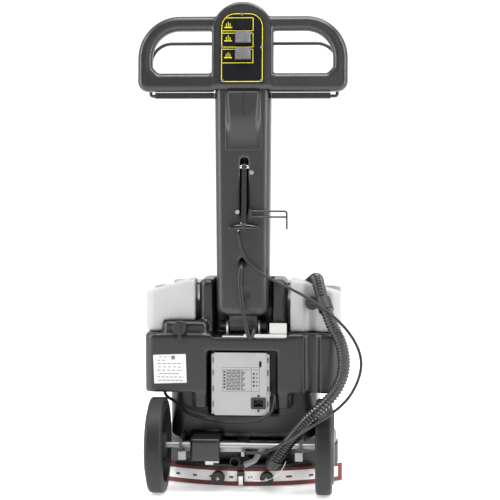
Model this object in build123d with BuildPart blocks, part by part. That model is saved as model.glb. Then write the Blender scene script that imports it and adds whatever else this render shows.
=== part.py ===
"""Walk-behind floor scrubber: a battery machine with a disc brush, a curved squeegee and a lift-off tank.

The machine stands on the floor at Z = 0. X is across it (plus is its right as the operator sees it),
+Y is the way it travels, and the operator stands at -Y. All sizes are millimetres.
"""
from build123d import *
import math
import os

os.makedirs("parts", exist_ok=True)

# --- running and seating clearances ---
RUN = 0.08                   # radial play of every turning fit
SEAT = 0.4                   # gap between neighbouring mouldings
GAP = 2.0                    # clear space round parts that move past each other

# --- wheels and axle ---
WHEEL_R = 100.0
WHEEL_W = 38.0
WHEEL_DOME = 9.0             # how far the hub's outer face bulges
TYRE_T = 11.0
TRACK = 352.0                # between the middles of the two wheels
AXLE_R = 6.0
AXLE_Y = -200.0

# --- moulded body ---
BODY_HALF = 207.0
BODY_REAR = -175.0
BODY_FRONT = 222.0
BODY_BOTTOM = 207.0
BODY_TOP = 324.0             # ledge under the column
SHOULDER_TOP = 333.0
STEP_TOP = 357.0             # raised step that carries the filler cap
STEP_HALF = 168.0
BLOCK_HALF = 93.0            # tower that holds the column
BLOCK_REAR = -148.0
BLOCK_FRONT = -38.0
BLOCK_TOP = 445.0
BELLY_HALF = 158.0
BELLY_BOTTOM = 98.0
BELLY_REAR = -128.0
BELLY_FRONT = 216.0
WALL = 5.0

# --- charger in the back of the body ---
CHARGER_W = 110.0
CHARGER_H = 133.0
CHARGER_D = 52.0
CHARGER_X = -3.0
CHARGER_BOTTOM = 159.0
INLET_W = 31.0
INLET_H = 24.0

# --- brush and deck ---
BRUSH_Y = 99.0
BRUSH_R = 178.0
DECK_R = 198.0
DECK_TOP = 90.0
DECK_BOTTOM = 34.0
SKIRT_BOTTOM = 8.0
DECK_REAR = -92.0
MOTOR_R = 56.0
MOTOR_H = 96.0
SHAFT_R = 9.0

# --- recovery tank ---
TANK_FRONT = 230.0
TANK_TOP = 445.0
TANK_NOSE_TOP = 391.0
TANK_OUTER_TOP = 416.0
TANK_REAR = -152.0
ARM_GAP = 8.0                # between the tower and the tank's arms
LID_T = 13.0
FLOAT_R = 17.0

# --- column and handle ---
COLUMN_W = 118.0
COLUMN_FOOT_W = 111.0
COLUMN_D = 80.0
COLUMN_REAR = -160.0
COLUMN_BOTTOM = 368.0
COLUMN_TOP = 852.0
PIVOT_Z = 345.0
PIVOT_R = 6.0
HANDLE_Y = -145.0
HANDLE_Z = COLUMN_TOP + 68     # middle of the hand loops
HANDLE_LEAN = 5.0
HANDLE_HALF = 220.0
BAR_T = 31.0
LOWER_BAR_H = 39.0
UPPER_BAR_AT = 61.7
HEAD_W = 129.0
HEAD_TOP_AT = 106.5
HEAD_BOTTOM_AT = -73.0
PANEL_W = 92.0
PANEL_H = 150.0
BAIL_R = 3.5
BAIL_Z = HANDLE_Z + 23

# --- lift lever ---
LEVER_PIVOT_Z = 682.0
LEVER_END_Z = 556.0
T_HANDLE_W = 66.0

# --- squeegee ---
SQUEEGEE_R = 345.0           # radius of the blade's curve
SQUEEGEE_HALF = 211.0
SQUEEGEE_Y = -148.0          # rear of the strap at its middle
STRAP_H = 22.0
STRAP_T = 1.5
BLADE_H = 38.0
BLADE_T = 3.0
LIFT_Y = -45.0               # hinge line of the squeegee arm
LIFT_Z = 110.0
LIFT_PIN_R = 4.0
CABLE_END = (8.0, AXLE_Y - 12, WHEEL_R - 13)   # where the lift cable's sheath stops on the frame
KNOB_R = 14.5
KNOB_X = 52.0
CARRIER_HALF = 148.0

# --- flexible lines ---
HOSE_D = 26.0
LEAD_D = 7.0
SHEATH_D = 6.0
HARNESS_D = 9.0
TETHER_D = 1.4

HANDLE = Plane(
    origin=(0, HANDLE_Y, HANDLE_Z),
    x_dir=(1, 0, 0),
    z_dir=(0, -math.cos(math.radians(HANDLE_LEAN)), math.sin(math.radians(HANDLE_LEAN))),
)


def save(part, name):
    """Names a finished piece and writes it out."""
    part.label = name
    export_step(part, f"parts/{name}.step")


def soft_box(xs, ys, zs, corner, rim=0.0):
    """An upright block between the given limits, rounded at its corners and round its top rim."""
    with BuildPart() as soft:
        with BuildSketch(Plane.XY.offset(zs[0])):
            with Locations(((xs[0] + xs[1]) / 2, (ys[0] + ys[1]) / 2)):
                RectangleRounded(xs[1] - xs[0], ys[1] - ys[0], corner)
        extrude(amount=zs[1] - zs[0])
        if rim:
            fillet(soft.faces().sort_by(Axis.Z)[-1].edges(), rim)
    return soft.part


def plain_box(xs, ys, zs):
    """A sharp block between the given limits."""
    with BuildPart() as plain:
        with Locations(((xs[0] + xs[1]) / 2, (ys[0] + ys[1]) / 2, (zs[0] + zs[1]) / 2)):
            Box(xs[1] - xs[0], ys[1] - ys[0], zs[1] - zs[0])
    return plain.part


def rod(start, end, radius):
    """A round bar from one point to another."""
    along = Vector(*end) - Vector(*start)
    with BuildPart() as bar:
        with BuildSketch(Plane(origin=start, z_dir=along)):
            Circle(radius)
        extrude(amount=along.length)
    return bar.part


def bend_radii(points):
    """The radius of each bend of a route, from its shorter neighbouring run and its turn."""
    radii = []
    for before, here, after in zip(points, points[1:], points[2:]):
        first = Vector(*here) - Vector(*before)
        second = Vector(*after) - Vector(*here)
        turn = math.radians(first.get_angle(second))
        radii.append(0.45 * min(first.length, second.length) / math.tan(turn / 2))
    return radii


def line_piece(name, points, diameter):
    """A flexible line: a round section swept along straight runs joined by tangent arcs."""
    radii = bend_radii(points)
    print(name, "bend radii", [round(radius, 1) for radius in radii])
    with BuildPart() as cord:
        with BuildLine() as route:
            FilletPolyline(*points, radius=radii)
        with BuildSketch(Plane(origin=route.line @ 0, z_dir=route.line % 0)):
            Circle(diameter / 2)
        sweep(path=route.line)
    length = sum(edge.length for edge in route.line.edges())
    print(name, "length", round(length, 1), "volume check",
          round(cord.part.volume / (length * math.pi * diameter**2 / 4), 3))
    save(cord.part, name)


def handle_point(x, along, out):
    """A world point from its place in the handle's inclined plane."""
    return tuple(HANDLE.from_local_coords((x, along, out)))


# ------------------------------------------------------------------ wheels and axle
def make_wheels():
    """Two wheels: a dished hub with a bore for the axle and a rubber tyre round it."""
    for side, name in ((-1, "left"), (1, "right")):
        middle = side * TRACK / 2
        hub_r = WHEEL_R - TYRE_T
        with BuildPart() as hub:
            with BuildSketch(Plane.YZ.offset(middle - side * WHEEL_W / 2)):
                with Locations((AXLE_Y, WHEEL_R)):
                    Circle(hub_r)
            extrude(amount=side * (WHEEL_W - WHEEL_DOME))
            with BuildSketch(Plane.YZ.offset(middle + side * (WHEEL_W / 2 - WHEEL_DOME))):
                with Locations((AXLE_Y, WHEEL_R)):
                    Circle(hub_r - 6)
            extrude(amount=side * WHEEL_DOME, taper=35)
            with BuildSketch(Plane.YZ.offset(middle - side * WHEEL_W / 2)):
                with Locations((AXLE_Y, WHEEL_R)):
                    Circle(hub_r - 12)
                    Circle(26, mode=Mode.SUBTRACT)
            extrude(amount=side * (WHEEL_W - WHEEL_DOME - 8), mode=Mode.SUBTRACT)
            with BuildSketch(Plane.YZ.offset(middle - side * WHEEL_W)):
                with Locations((AXLE_Y, WHEEL_R)):
                    Circle(AXLE_R + RUN)
            extrude(amount=side * WHEEL_W * 2, mode=Mode.SUBTRACT)
        save(hub.part, f"hub_{name}")
        with BuildPart() as tyre:
            with BuildSketch(Plane.YZ.offset(middle - side * WHEEL_W / 2)):
                with Locations((AXLE_Y, WHEEL_R)):
                    Circle(WHEEL_R)
                    Circle(hub_r, mode=Mode.SUBTRACT)
            extrude(amount=side * (WHEEL_W - 4))
            rims = tyre.edges().filter_by(GeomType.CIRCLE).filter_by(lambda e: e.radius > hub_r + 1)
            fillet(rims, TYRE_T * 0.6)
        save(tyre.part, f"tyre_{name}")
    with BuildPart() as axle:
        add(rod((-TRACK / 2 - WHEEL_W / 2 + WHEEL_DOME, AXLE_Y, WHEEL_R),
                (TRACK / 2 + WHEEL_W / 2 - WHEEL_DOME, AXLE_Y, WHEEL_R), AXLE_R))
    save(axle.part, "axle")


# ------------------------------------------------------------------ frame under the body
FRAME_HALF = 128.0
FRAME_T = 3.0
FRAME_TOP = BELLY_BOTTOM - SEAT
FRAME_FRONT = LIFT_Y + 14
CHEEK_T = 5.0
ARM_HALF = 12.0
EYE_T = 4.0


def make_frame():
    """Steel plate under the belly, with two cheeks that carry the axle and two ears for the squeegee arm."""
    bottom = FRAME_TOP - FRAME_T
    with BuildPart() as frame:
        add(plain_box((-FRAME_HALF, FRAME_HALF), (BELLY_REAR - 4, FRAME_FRONT), (bottom, FRAME_TOP)))
        gap = ARM_HALF + GAP
        add(plain_box((-gap, gap), (BELLY_REAR - 10, LIFT_Y + 12), (bottom - 5, FRAME_TOP + 5)),
            mode=Mode.SUBTRACT)
        for side in (-1, 1):
            with BuildSketch(Plane.YZ.offset(side * (FRAME_HALF - CHEEK_T / 2) - CHEEK_T / 2)):
                with BuildLine():
                    Polyline(
                        (AXLE_Y - 16, WHEEL_R - 16),
                        (AXLE_Y - 16, WHEEL_R + 16),
                        (BELLY_REAR - 2, WHEEL_R + 16),
                        (BELLY_REAR - 2, FRAME_TOP),
                        (BELLY_REAR + 30, FRAME_TOP),
                        (BELLY_REAR + 10, FRAME_TOP - 14),
                        (AXLE_Y + 10, WHEEL_R - 24),
                        (AXLE_Y - 16, WHEEL_R - 16),
                    )
                make_face()
            extrude(amount=CHEEK_T)
            with BuildSketch(Plane.YZ.offset(side * (ARM_HALF + GAP + EYE_T / 2) - EYE_T / 2)):
                with Locations((LIFT_Y, LIFT_Z)):
                    Circle(9)
                with Locations((LIFT_Y, (bottom + LIFT_Z) / 2)):
                    Rectangle(18, LIFT_Z - bottom)
            extrude(amount=EYE_T)
        with BuildSketch(Plane.YZ.offset(-FRAME_HALF - 5)):
            with Locations((AXLE_Y, WHEEL_R)):
                Circle(AXLE_R)
        extrude(amount=2 * FRAME_HALF + 10, mode=Mode.SUBTRACT)
        pin = gap + EYE_T
        add(rod((-pin, LIFT_Y, LIFT_Z), (pin, LIFT_Y, LIFT_Z), LIFT_PIN_R))
    save(frame.part, "chassis_frame")
    stop = CABLE_END
    with BuildPart() as brackets:
        for side in (-1, 1):
            tab = (side * 122 - 8, side * 122 + 8)
            low = WHEEL_R - 24
            add(plain_box(tab, (AXLE_Y - 22, AXLE_Y - 16.02), (low, low + 14)))
            add(plain_box(tab, (AXLE_Y - 22, AXLE_Y + 4), (low - 3.5, low - 0.02)))
        cheek = -FRAME_HALF + CHEEK_T + SEAT
        bar = WHEEL_R - 16
        add(plain_box((cheek, stop[0]), (AXLE_Y + 12, AXLE_Y + 18), (bar, bar + 20)))
        add(plain_box((cheek, -FRAME_HALF + 16), (AXLE_Y + 18, BELLY_REAR - 2.02), (bar + 4, bar + 10)))
        add(plain_box((stop[0] - 6, stop[0]), (stop[1] - 8, AXLE_Y + 18), (stop[2] - 6, stop[2] + 3)))
    save(brackets.part, "axle_brackets")


# ------------------------------------------------------------------ moulded body
STEP_IN = 6.0                 # the raised step stands in from the rear face
SUMP_X = (-107.0, -43.0)
SUMP_BOTTOM = 67.0
SUMP_TOP = 116.0
RECESS_HALF = CHARGER_W / 2 + 20
RECESS_TOP = 296.0
RECESS_DEPTH = CHARGER_D + 16
SLOT_HALF = COLUMN_W / 2 + 5
SLOT_FRONT = COLUMN_REAR + COLUMN_D + 7
BAY_X = 100.0
BAY_Y = (-22.0, 162.0)
BAY_FLOOR = 212.0
VAC_X = 155.0
VAC_Y = 50.0
VAC_R = 44.0


def make_body():
    """One moulded piece: shoulders, belly, tower for the column, charger recess and battery bay."""
    shoulders = soft_box((-BODY_HALF, BODY_HALF), (BODY_REAR, BODY_FRONT), (BODY_BOTTOM, SHOULDER_TOP), 24, 9)
    step_rear = BODY_REAR + STEP_IN
    step = soft_box((-STEP_HALF, -BLOCK_HALF + 20), (step_rear, BLOCK_FRONT), (300, STEP_TOP), 12, 8)
    belly_top = BODY_BOTTOM + 20
    belly = soft_box((-BELLY_HALF, BELLY_HALF), (BELLY_REAR, BELLY_FRONT), (BELLY_BOTTOM, belly_top), 30)
    tower = soft_box((-BLOCK_HALF, BLOCK_HALF), (BLOCK_REAR, BLOCK_FRONT), (300, BLOCK_TOP), 16, 13)
    with BuildPart() as body:
        add(shoulders)
        add(step)
        add(belly)
        fillet(body.faces().sort_by(Axis.Z)[0].edges(), 14)
        add(tower)
        # prongs that hang beside the charger
        for x0, x1 in ((-RECESS_HALF - 28, -RECESS_HALF), (RECESS_HALF, RECESS_HALF + 27)):
            add(soft_box((x0, x1), (BODY_REAR + 1, BODY_REAR + 46), (BODY_BOTTOM - 33, BODY_BOTTOM + 20), 5))
        # sump that hangs behind the belly and wraps the axle
        add(plain_box(SUMP_X, (AXLE_Y - 15, AXLE_Y + 11), (SUMP_BOTTOM, SUMP_TOP)))
        sump_rear = body.faces().sort_by(Axis.Y)[0]
        fillet(sump_rear.edges(), 7)
        add(plain_box(SUMP_X, (AXLE_Y + 5, BELLY_REAR + 3), (SUMP_TOP - 10, SUMP_TOP)))
        add(rod((SUMP_X[0] - 5, AXLE_Y, WHEEL_R), (SUMP_X[1] + 5, AXLE_Y, WHEEL_R), AXLE_R + 1.5),
            mode=Mode.SUBTRACT)
        # recess for the charger, open downwards
        add(plain_box((-RECESS_HALF, RECESS_HALF),
                      (BODY_REAR - 5, BODY_REAR + RECESS_DEPTH), (CHARGER_BOTTOM - 4, RECESS_TOP)),
            mode=Mode.SUBTRACT)
        # ledge and slot for the foot of the column
        add(plain_box((-SLOT_HALF, SLOT_HALF), (BODY_REAR - 5, SLOT_FRONT), (BODY_TOP, BLOCK_TOP + 20)),
            mode=Mode.SUBTRACT)
        add(plain_box((-SLOT_HALF, BLOCK_HALF + 3), (BODY_REAR - 5, SLOT_FRONT), (BODY_TOP, BODY_TOP + 28)),
            mode=Mode.SUBTRACT)
        # upright channel for the hose down the right shoulder
        with BuildSketch(Plane.XY.offset(BODY_BOTTOM - 5)):
            with Locations((147, BODY_REAR - 8)):
                Circle(20)
        extrude(amount=SHOULDER_TOP - BODY_BOTTOM + 20, mode=Mode.SUBTRACT)
        # battery bay and vacuum motor well under the lift-off tank
        add(soft_box((-BAY_X, BAY_X), BAY_Y, (BAY_FLOOR, BLOCK_TOP), 8), mode=Mode.SUBTRACT)
        with BuildSketch(Plane.XY.offset(BAY_FLOOR)):
            with Locations((VAC_X, VAC_Y)):
                Circle(VAC_R + 3)
        extrude(amount=BLOCK_TOP - BAY_FLOOR, mode=Mode.SUBTRACT)
        # solution water space on the left and in front of the recess
        add(soft_box((-BODY_HALF + WALL, -RECESS_HALF - 30), (BODY_REAR + WALL, BAY_Y[1]),
                     (BODY_BOTTOM + WALL, SHOULDER_TOP - WALL), 18), mode=Mode.SUBTRACT)
        # filler neck, open to the rear, with a drop into the water space
        bend = (FILLER_X, FILLER_DROP_Y, FILLER_Z)
        add(rod((FILLER_X, BODY_REAR - 1, FILLER_Z), bend, FILLER_R - 5), mode=Mode.SUBTRACT)
        add(rod(bend, (FILLER_X, FILLER_DROP_Y, SHOULDER_TOP - 30), FILLER_R - 5), mode=Mode.SUBTRACT)
        # channel under the belly for the squeegee arm and its ears
        add(plain_box((-ARM_HALF - 8, ARM_HALF + 8), (BELLY_REAR + 7, LIFT_Y + 16),
                      (BELLY_BOTTOM - 5, LIFT_Z + 20)), mode=Mode.SUBTRACT)
        # well for the brush motor
        with BuildSketch(Plane.XY.offset(BELLY_BOTTOM - 5)):
            with Locations((0, BRUSH_Y)):
                Circle(MOTOR_R + 3)
        extrude(amount=MOTOR_H + 10, mode=Mode.SUBTRACT)
    save(body.part, "body")


FILLER_X = -131.0
FILLER_Z = 345.0
FILLER_R = 15.0
FILLER_DROP_Y = BODY_REAR + 32


def make_filler():
    """Screw cap on the solution tank's neck, facing the operator, and the strap that keeps it."""
    face = BODY_REAR
    grip = FILLER_R - 4
    with BuildPart() as cap:
        add(rod((FILLER_X, face - SEAT, FILLER_Z), (FILLER_X, face - SEAT - 11, FILLER_Z), FILLER_R))
        fillet(cap.faces().sort_by(Axis.Y)[0].edges(), 2)
        add(plain_box((FILLER_X - 2.5, FILLER_X + 2.5), (face - 15, face - 5),
                      (FILLER_Z - grip, FILLER_Z + grip)))
        add(rod((FILLER_X, face - SEAT - 1, FILLER_Z), (FILLER_X, face + 13, FILLER_Z), FILLER_R - 5 - RUN))
    save(cap.part, "filler_cap")
    with BuildPart() as strap:
        add(plain_box((FILLER_X - 4, FILLER_X + 4), (BODY_REAR - 3, BODY_REAR - SEAT),
                      (FILLER_Z - FILLER_R - 16, FILLER_Z - FILLER_R - 0.6)))
    save(strap.part, "cap_strap")


# ------------------------------------------------------------------ charger
CHARGER_FACE = BODY_REAR + 2
INLET_X = CHARGER_X + 38.0
INLET_Z = CHARGER_BOTTOM + 26.0
LEAD_Z = 203.0
LEAD_OUT = 8.0


def make_charger():
    """Sheet-metal case with folded side flanges, its mains inlet and two blank plates."""
    x0, x1 = CHARGER_X - CHARGER_W / 2, CHARGER_X + CHARGER_W / 2
    top = CHARGER_BOTTOM + CHARGER_H
    back = CHARGER_FACE + CHARGER_D
    with BuildPart() as case:
        add(plain_box((x0, x1), (CHARGER_FACE, back), (CHARGER_BOTTOM, top)))
        add(plain_box((x0 + 1.2, x1 - 1.2), (CHARGER_FACE + 1.2, back - 1.2),
                      (CHARGER_BOTTOM + 1.2, top - 1.2)), mode=Mode.SUBTRACT)
        with Locations((INLET_X, CHARGER_FACE, INLET_Z)):
            Box(INLET_W - 8, 10, INLET_H - 6, mode=Mode.SUBTRACT)
        with Locations((CHARGER_X + 42, CHARGER_FACE, top - 24)):
            Box(5, 10, 12, mode=Mode.SUBTRACT)
        for side in (-1, 1):
            edge = CHARGER_X + side * CHARGER_W / 2
            lo, hi = sorted((edge - side * 0.5, edge + side * 6))
            add(plain_box((lo, hi), (CHARGER_FACE + 2, CHARGER_FACE + 3.5), (CHARGER_BOTTOM + 3, top - 3)))
            for at in (0.18, 0.42, 0.68, 0.88):
                with Locations((edge + side * 3, CHARGER_FACE, CHARGER_BOTTOM + CHARGER_H * at)):
                    Box(2.4, 12, 12, mode=Mode.SUBTRACT)
        add(rod((x1 - 0.5, CHARGER_FACE + 12, LEAD_Z), (x1 + LEAD_OUT, CHARGER_FACE + 12, LEAD_Z), 6))
    save(case.part, "charger_case")
    with BuildPart() as inlet:
        with BuildSketch(Plane.XZ.offset(-CHARGER_FACE)):
            with Locations((INLET_X, INLET_Z)):
                RectangleRounded(INLET_W, INLET_H, 2)
        extrude(amount=3)
        with BuildSketch(Plane.XZ.offset(-CHARGER_FACE)):
            with Locations((INLET_X, INLET_Z)):
                Rectangle(INLET_W - 8.4, INLET_H - 6.4)
        extrude(amount=-20)
        with BuildSketch(Plane.XZ.offset(-CHARGER_FACE + 3)):
            with Locations((INLET_X, INLET_Z)):
                Rectangle(INLET_W - 12, INLET_H - 10)
        extrude(amount=-20, mode=Mode.SUBTRACT)
        for dx, dz in ((-6, -1.5), (0, 2), (6, -1.5)):
            with BuildSketch(Plane.XZ.offset(-CHARGER_FACE - 17)):
                with Locations((INLET_X + dx, INLET_Z + dz)):
                    Rectangle(1.8, 4)
            extrude(amount=15)
        for z in (INLET_Z + INLET_H / 2 + 4, INLET_Z - INLET_H / 2 - 4):
            add(rod((INLET_X, CHARGER_FACE - 0.02, z), (INLET_X, CHARGER_FACE - 2, z), 2.4))
    save(inlet.part, "mains_inlet")
    with BuildPart() as plates:
        add(plain_box((x0 + 16, x1 - 14), (CHARGER_FACE - 0.6, CHARGER_FACE - 0.02),
                      (CHARGER_BOTTOM + 50, top - 30)))
        with BuildSketch(Plane.XZ.offset(-BODY_REAR + 0.02)):
            with Locations(Location((-152, 257), 2)):
                RectangleRounded(69, 61, 1.5)
        extrude(amount=0.6)
    save(plates.part, "blank_plates")


# ------------------------------------------------------------------ batteries, motors and brush
def make_inside():
    """Two batteries in the bay and the vacuum motor with its fan."""
    with BuildPart() as batteries:
        for y0, y1 in ((BAY_Y[0] + 4, 69), (72, BAY_Y[1] - 4)):
            add(soft_box((-BAY_X + 6, BAY_X - 6), (y0, y1), (BAY_FLOOR, BAY_FLOOR + 104), 3, 2))
            for x in (-BAY_X + 26, BAY_X - 26):
                add(rod((x, y0 + 16, BAY_FLOOR + 103), (x, y0 + 16, BAY_FLOOR + 110), 6))
    save(batteries.part, "batteries")
    with BuildPart() as vacuum:
        with BuildSketch(Plane.XY.offset(BAY_FLOOR)):
            with Locations((VAC_X, VAC_Y)):
                Circle(VAC_R)
        extrude(amount=92)
        with BuildSketch(Plane.XY.offset(BAY_FLOOR + 60)):
            with Locations((VAC_X, VAC_Y)):
                Circle(VAC_R - 5)
        extrude(amount=30, mode=Mode.SUBTRACT)
        with BuildSketch(Plane.XY.offset(BAY_FLOOR + 60)):
            with Locations((VAC_X, VAC_Y)):
                Circle(12)
        extrude(amount=40, mode=Mode.SUBTRACT)
    save(vacuum.part, "vacuum_motor")
    with BuildPart() as fan:
        with BuildSketch(Plane.XY.offset(BAY_FLOOR + 64)):
            with Locations((VAC_X, VAC_Y)):
                Circle(VAC_R - 8)
        extrude(amount=3)
        for turn in range(8):
            with BuildSketch(Plane.XY.offset(BAY_FLOOR + 66)):
                with Locations(Location((VAC_X, VAC_Y), turn * 45)):
                    with Locations((21, 0)):
                        Rectangle(26, 2)
            extrude(amount=16)
        with BuildSketch(Plane.XY.offset(BAY_FLOOR + 61)):
            with Locations((VAC_X, VAC_Y)):
                Circle(10)
        extrude(amount=21)
    save(fan.part, "vacuum_fan")


def make_brush():
    """Brush deck with its skirt, the motor above it, and the disc brush."""
    with BuildPart() as deck:
        with BuildSketch(Plane.XY.offset(DECK_BOTTOM)):
            with Locations((0, BRUSH_Y)):
                Circle(DECK_R)
        extrude(amount=DECK_TOP - DECK_BOTTOM)
        fillet(deck.faces().sort_by(Axis.Z)[-1].edges(), 22)
        with BuildSketch(Plane.XY.offset(DECK_BOTTOM)):
            with Locations((0, BRUSH_Y)):
                Circle(DECK_R - 6)
        extrude(amount=DECK_TOP - DECK_BOTTOM - 24, mode=Mode.SUBTRACT)
        with BuildSketch(Plane.XY.offset(DECK_BOTTOM)):
            with Locations((0, BRUSH_Y)):
                Circle(SHAFT_R + 2)
        extrude(amount=DECK_TOP, mode=Mode.SUBTRACT)
        add(plain_box((-BODY_HALF, BODY_HALF), (BRUSH_Y - DECK_R - 5, DECK_REAR), (0, DECK_TOP + 5)),
            mode=Mode.SUBTRACT)
        with BuildSketch(Plane.XY.offset(DECK_TOP - 4)):
            with Locations(*((x, BRUSH_Y + y) for x in (-110, 110) for y in (-60, 80))):
                Circle(9)
        extrude(amount=BELLY_BOTTOM - DECK_TOP + 4)
    save(deck.part, "brush_deck")
    with BuildPart() as skirt:
        with BuildSketch(Plane.XY.offset(SKIRT_BOTTOM)):
            with Locations((0, BRUSH_Y)):
                Circle(DECK_R + 3)
                Circle(DECK_R + 0.05, mode=Mode.SUBTRACT)
        extrude(amount=DECK_BOTTOM - SKIRT_BOTTOM + 20)
        add(plain_box((-BODY_HALF - 9, BODY_HALF + 9), (BRUSH_Y - DECK_R - 8, DECK_REAR), (0, DECK_TOP)),
            mode=Mode.SUBTRACT)
    save(skirt.part, "splash_skirt")
    with BuildPart() as motor:
        with BuildSketch(Plane.XY.offset(DECK_TOP + 0.02)):
            with Locations((0, BRUSH_Y)):
                Circle(MOTOR_R)
        extrude(amount=MOTOR_H)
        fillet(motor.faces().sort_by(Axis.Z)[-1].edges(), 6)
        with BuildSketch(Plane.XY.offset(DECK_TOP)):
            with Locations((0, BRUSH_Y)):
                Circle(SHAFT_R + RUN)
        extrude(amount=40, mode=Mode.SUBTRACT)
    save(motor.part, "brush_motor")
    with BuildPart() as back:
        with BuildSketch(Plane.XY.offset(DECK_BOTTOM)):
            with Locations((0, BRUSH_Y)):
                Circle(BRUSH_R - 6)
        extrude(amount=14)
        with BuildSketch(Plane.XY.offset(DECK_BOTTOM + 14)):
            with Locations((0, BRUSH_Y)):
                Circle(32)
        extrude(amount=12)
        with BuildSketch(Plane.XY.offset(DECK_BOTTOM + 26)):
            with Locations((0, BRUSH_Y)):
                Circle(SHAFT_R)
        extrude(amount=DECK_TOP - DECK_BOTTOM + 10)
    save(back.part, "brush_plate")
    with BuildPart() as bristles:
        with BuildSketch(Plane.XY):
            with Locations((0, BRUSH_Y)):
                Circle(BRUSH_R)
                Circle(70, mode=Mode.SUBTRACT)
        extrude(amount=DECK_BOTTOM - 0.02)
        chamfer(bristles.edges().filter_by(lambda e: e.center().Z > DECK_BOTTOM - 1 and e.radius > 100), 5)
    save(bristles.part, "brush_bristles")


# ------------------------------------------------------------------ recovery tank
LID_Y = (10.0, 196.0)
LID_HALF = 168.0
LID_REAR_Z = 420.0
RISER_Y = 0.0                # where the trough ends and the lid's hump begins
RIDGE_FRONT = -82.0
TROUGH_Z = 395.0


def make_tank():
    """Lift-off recovery tank: a saddle whose two arms stand beside the tower."""
    rim = SHOULDER_TOP + SEAT
    inner = BLOCK_HALF + ARM_GAP
    outer = BODY_HALF + 0.5
    outline = soft_box((-outer, outer), (TANK_REAR, TANK_FRONT), (rim, TANK_TOP), 26, 10)
    with BuildPart() as tank:
        add(outline)
        # behind the two rear ridges the top drops to a trough, then slopes from the lid to the nose
        with BuildSketch(Plane.YZ.offset(-outer - 5)):
            with BuildLine():
                Polyline(
                    (RIDGE_FRONT - 12, TANK_TOP + 30),
                    (RIDGE_FRONT - 12, TANK_TOP),
                    (RIDGE_FRONT, TROUGH_Z),
                    (RISER_Y, TROUGH_Z),
                    (RISER_Y, LID_REAR_Z),
                    (TANK_FRONT + 5, TANK_NOSE_TOP),
                    (TANK_FRONT + 5, TANK_TOP + 30),
                    (RIDGE_FRONT - 12, TANK_TOP + 30),
                )
            make_face()
        extrude(amount=2 * outer + 10, mode=Mode.SUBTRACT)
        for side in (-1, 1):
            with BuildSketch(Plane.XZ.offset(-TANK_FRONT - 5)):
                with BuildLine():
                    Polyline(
                        (side * (inner + 10), TANK_TOP),
                        (side * (outer + 1), TANK_OUTER_TOP),
                        (side * (outer + 1), TANK_TOP + 30),
                        (side * (inner + 10), TANK_TOP + 30),
                        (side * (inner + 10), TANK_TOP),
                    )
                make_face()
            extrude(amount=TANK_FRONT - TANK_REAR + 10, mode=Mode.SUBTRACT)
        # room for the tower between the arms
        add(soft_box((-inner, inner), (TANK_REAR - 40, BLOCK_FRONT + ARM_GAP), (rim - 5, TANK_TOP + 20), 12),
            mode=Mode.SUBTRACT)
        # the left arm stands on the raised step
        add(plain_box((-STEP_HALF - SEAT, -inner + 30), (TANK_REAR - 10, BLOCK_FRONT + ARM_GAP),
                      (rim - 5, STEP_TOP + SEAT)), mode=Mode.SUBTRACT)
        # concave channel down the right arm
        with BuildSketch(Plane.XY.offset(rim - 5)):
            with Locations((147, TANK_REAR - 8)):
                Circle(20)
        extrude(amount=TANK_TOP, mode=Mode.SUBTRACT)
        # water space under the lid
        add(soft_box((-LID_HALF + 8, LID_HALF - 8), (LID_Y[0] + 8, LID_Y[1] - 8),
                     (rim + 14, TANK_TOP + 20), 20), mode=Mode.SUBTRACT)
        # relief over the batteries, the motor and its lead
        add(soft_box((-BAY_X - 4, BAY_X + 4), (BAY_Y[0], BAY_Y[1] + 4), (rim - 5, rim + 8), 8),
            mode=Mode.SUBTRACT)
        # cage round the float under the suction port
        with BuildSketch(Plane.XY.offset(rim + 13)):
            with Locations((FLOAT_X, FLOAT_Y)):
                Circle(FLOAT_R + 5)
                Circle(FLOAT_R + 2, mode=Mode.SUBTRACT)
        extrude(amount=48)
    save(tank.part, "recovery_tank")


def lid_plane():
    """The sloping plane of the tank's top in front of the tower."""
    fall = math.atan2(LID_REAR_Z - TANK_NOSE_TOP, TANK_FRONT + 5 - RISER_Y)
    z_rear = LID_REAR_Z - math.tan(fall) * (LID_Y[0] - RISER_Y)
    return Plane(origin=(0, LID_Y[0], z_rear), x_dir=(1, 0, 0), z_dir=(0, math.sin(fall), math.cos(fall)))


FLOAT_X = 112.0
FLOAT_Y = 90.0
HINGE = (LID_Y[0] - 5.0, LID_REAR_Z + 5.2)


def make_lid():
    """Sloping tank lid with its hinge barrels, its seal, and the float below it."""
    top = lid_plane()
    length = (LID_Y[1] - LID_Y[0]) / top.z_dir.Z
    with BuildPart() as seal:
        with BuildSketch(top.offset(0.3)):
            with Locations((0, length / 2)):
                RectangleRounded(2 * LID_HALF - 14, length - 14, 22)
                RectangleRounded(2 * LID_HALF - 30, length - 30, 16, mode=Mode.SUBTRACT)
        extrude(amount=3)
    save(seal.part, "lid_seal")
    with BuildPart() as lid:
        with BuildSketch(top.offset(3.3)):
            with Locations((0, length / 2)):
                RectangleRounded(2 * LID_HALF, length, 24)
        extrude(amount=LID_T - 3)
        fillet(lid.faces().sort_by(Axis.Z)[-1].edges(), 4)
        for x in (-90, 90):
            add(rod((x - 20, HINGE[0], HINGE[1]), (x + 20, HINGE[0], HINGE[1]), 4))
            add(plain_box((x - 12, x + 12), (HINGE[0], LID_Y[0] + 6), (HINGE[1] - 2, HINGE[1] + 4)))
    save(lid.part, "tank_lid")
    with BuildPart() as ball:
        with Locations((FLOAT_X, FLOAT_Y, SHOULDER_TOP + SEAT + 14.5 + FLOAT_R)):
            Sphere(FLOAT_R)
    save(ball.part, "float_ball")


CUFF_START = Vector(178, -188, 384)
CUFF_ALONG = Vector(-10, 18, 28).normalized()
CUFF_LENGTH = 27.0
PORT = (147.0, TANK_REAR + 5.0, 396.0)
INLET_PORT = Vector(118, RISER_Y - 20, 409)


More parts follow.
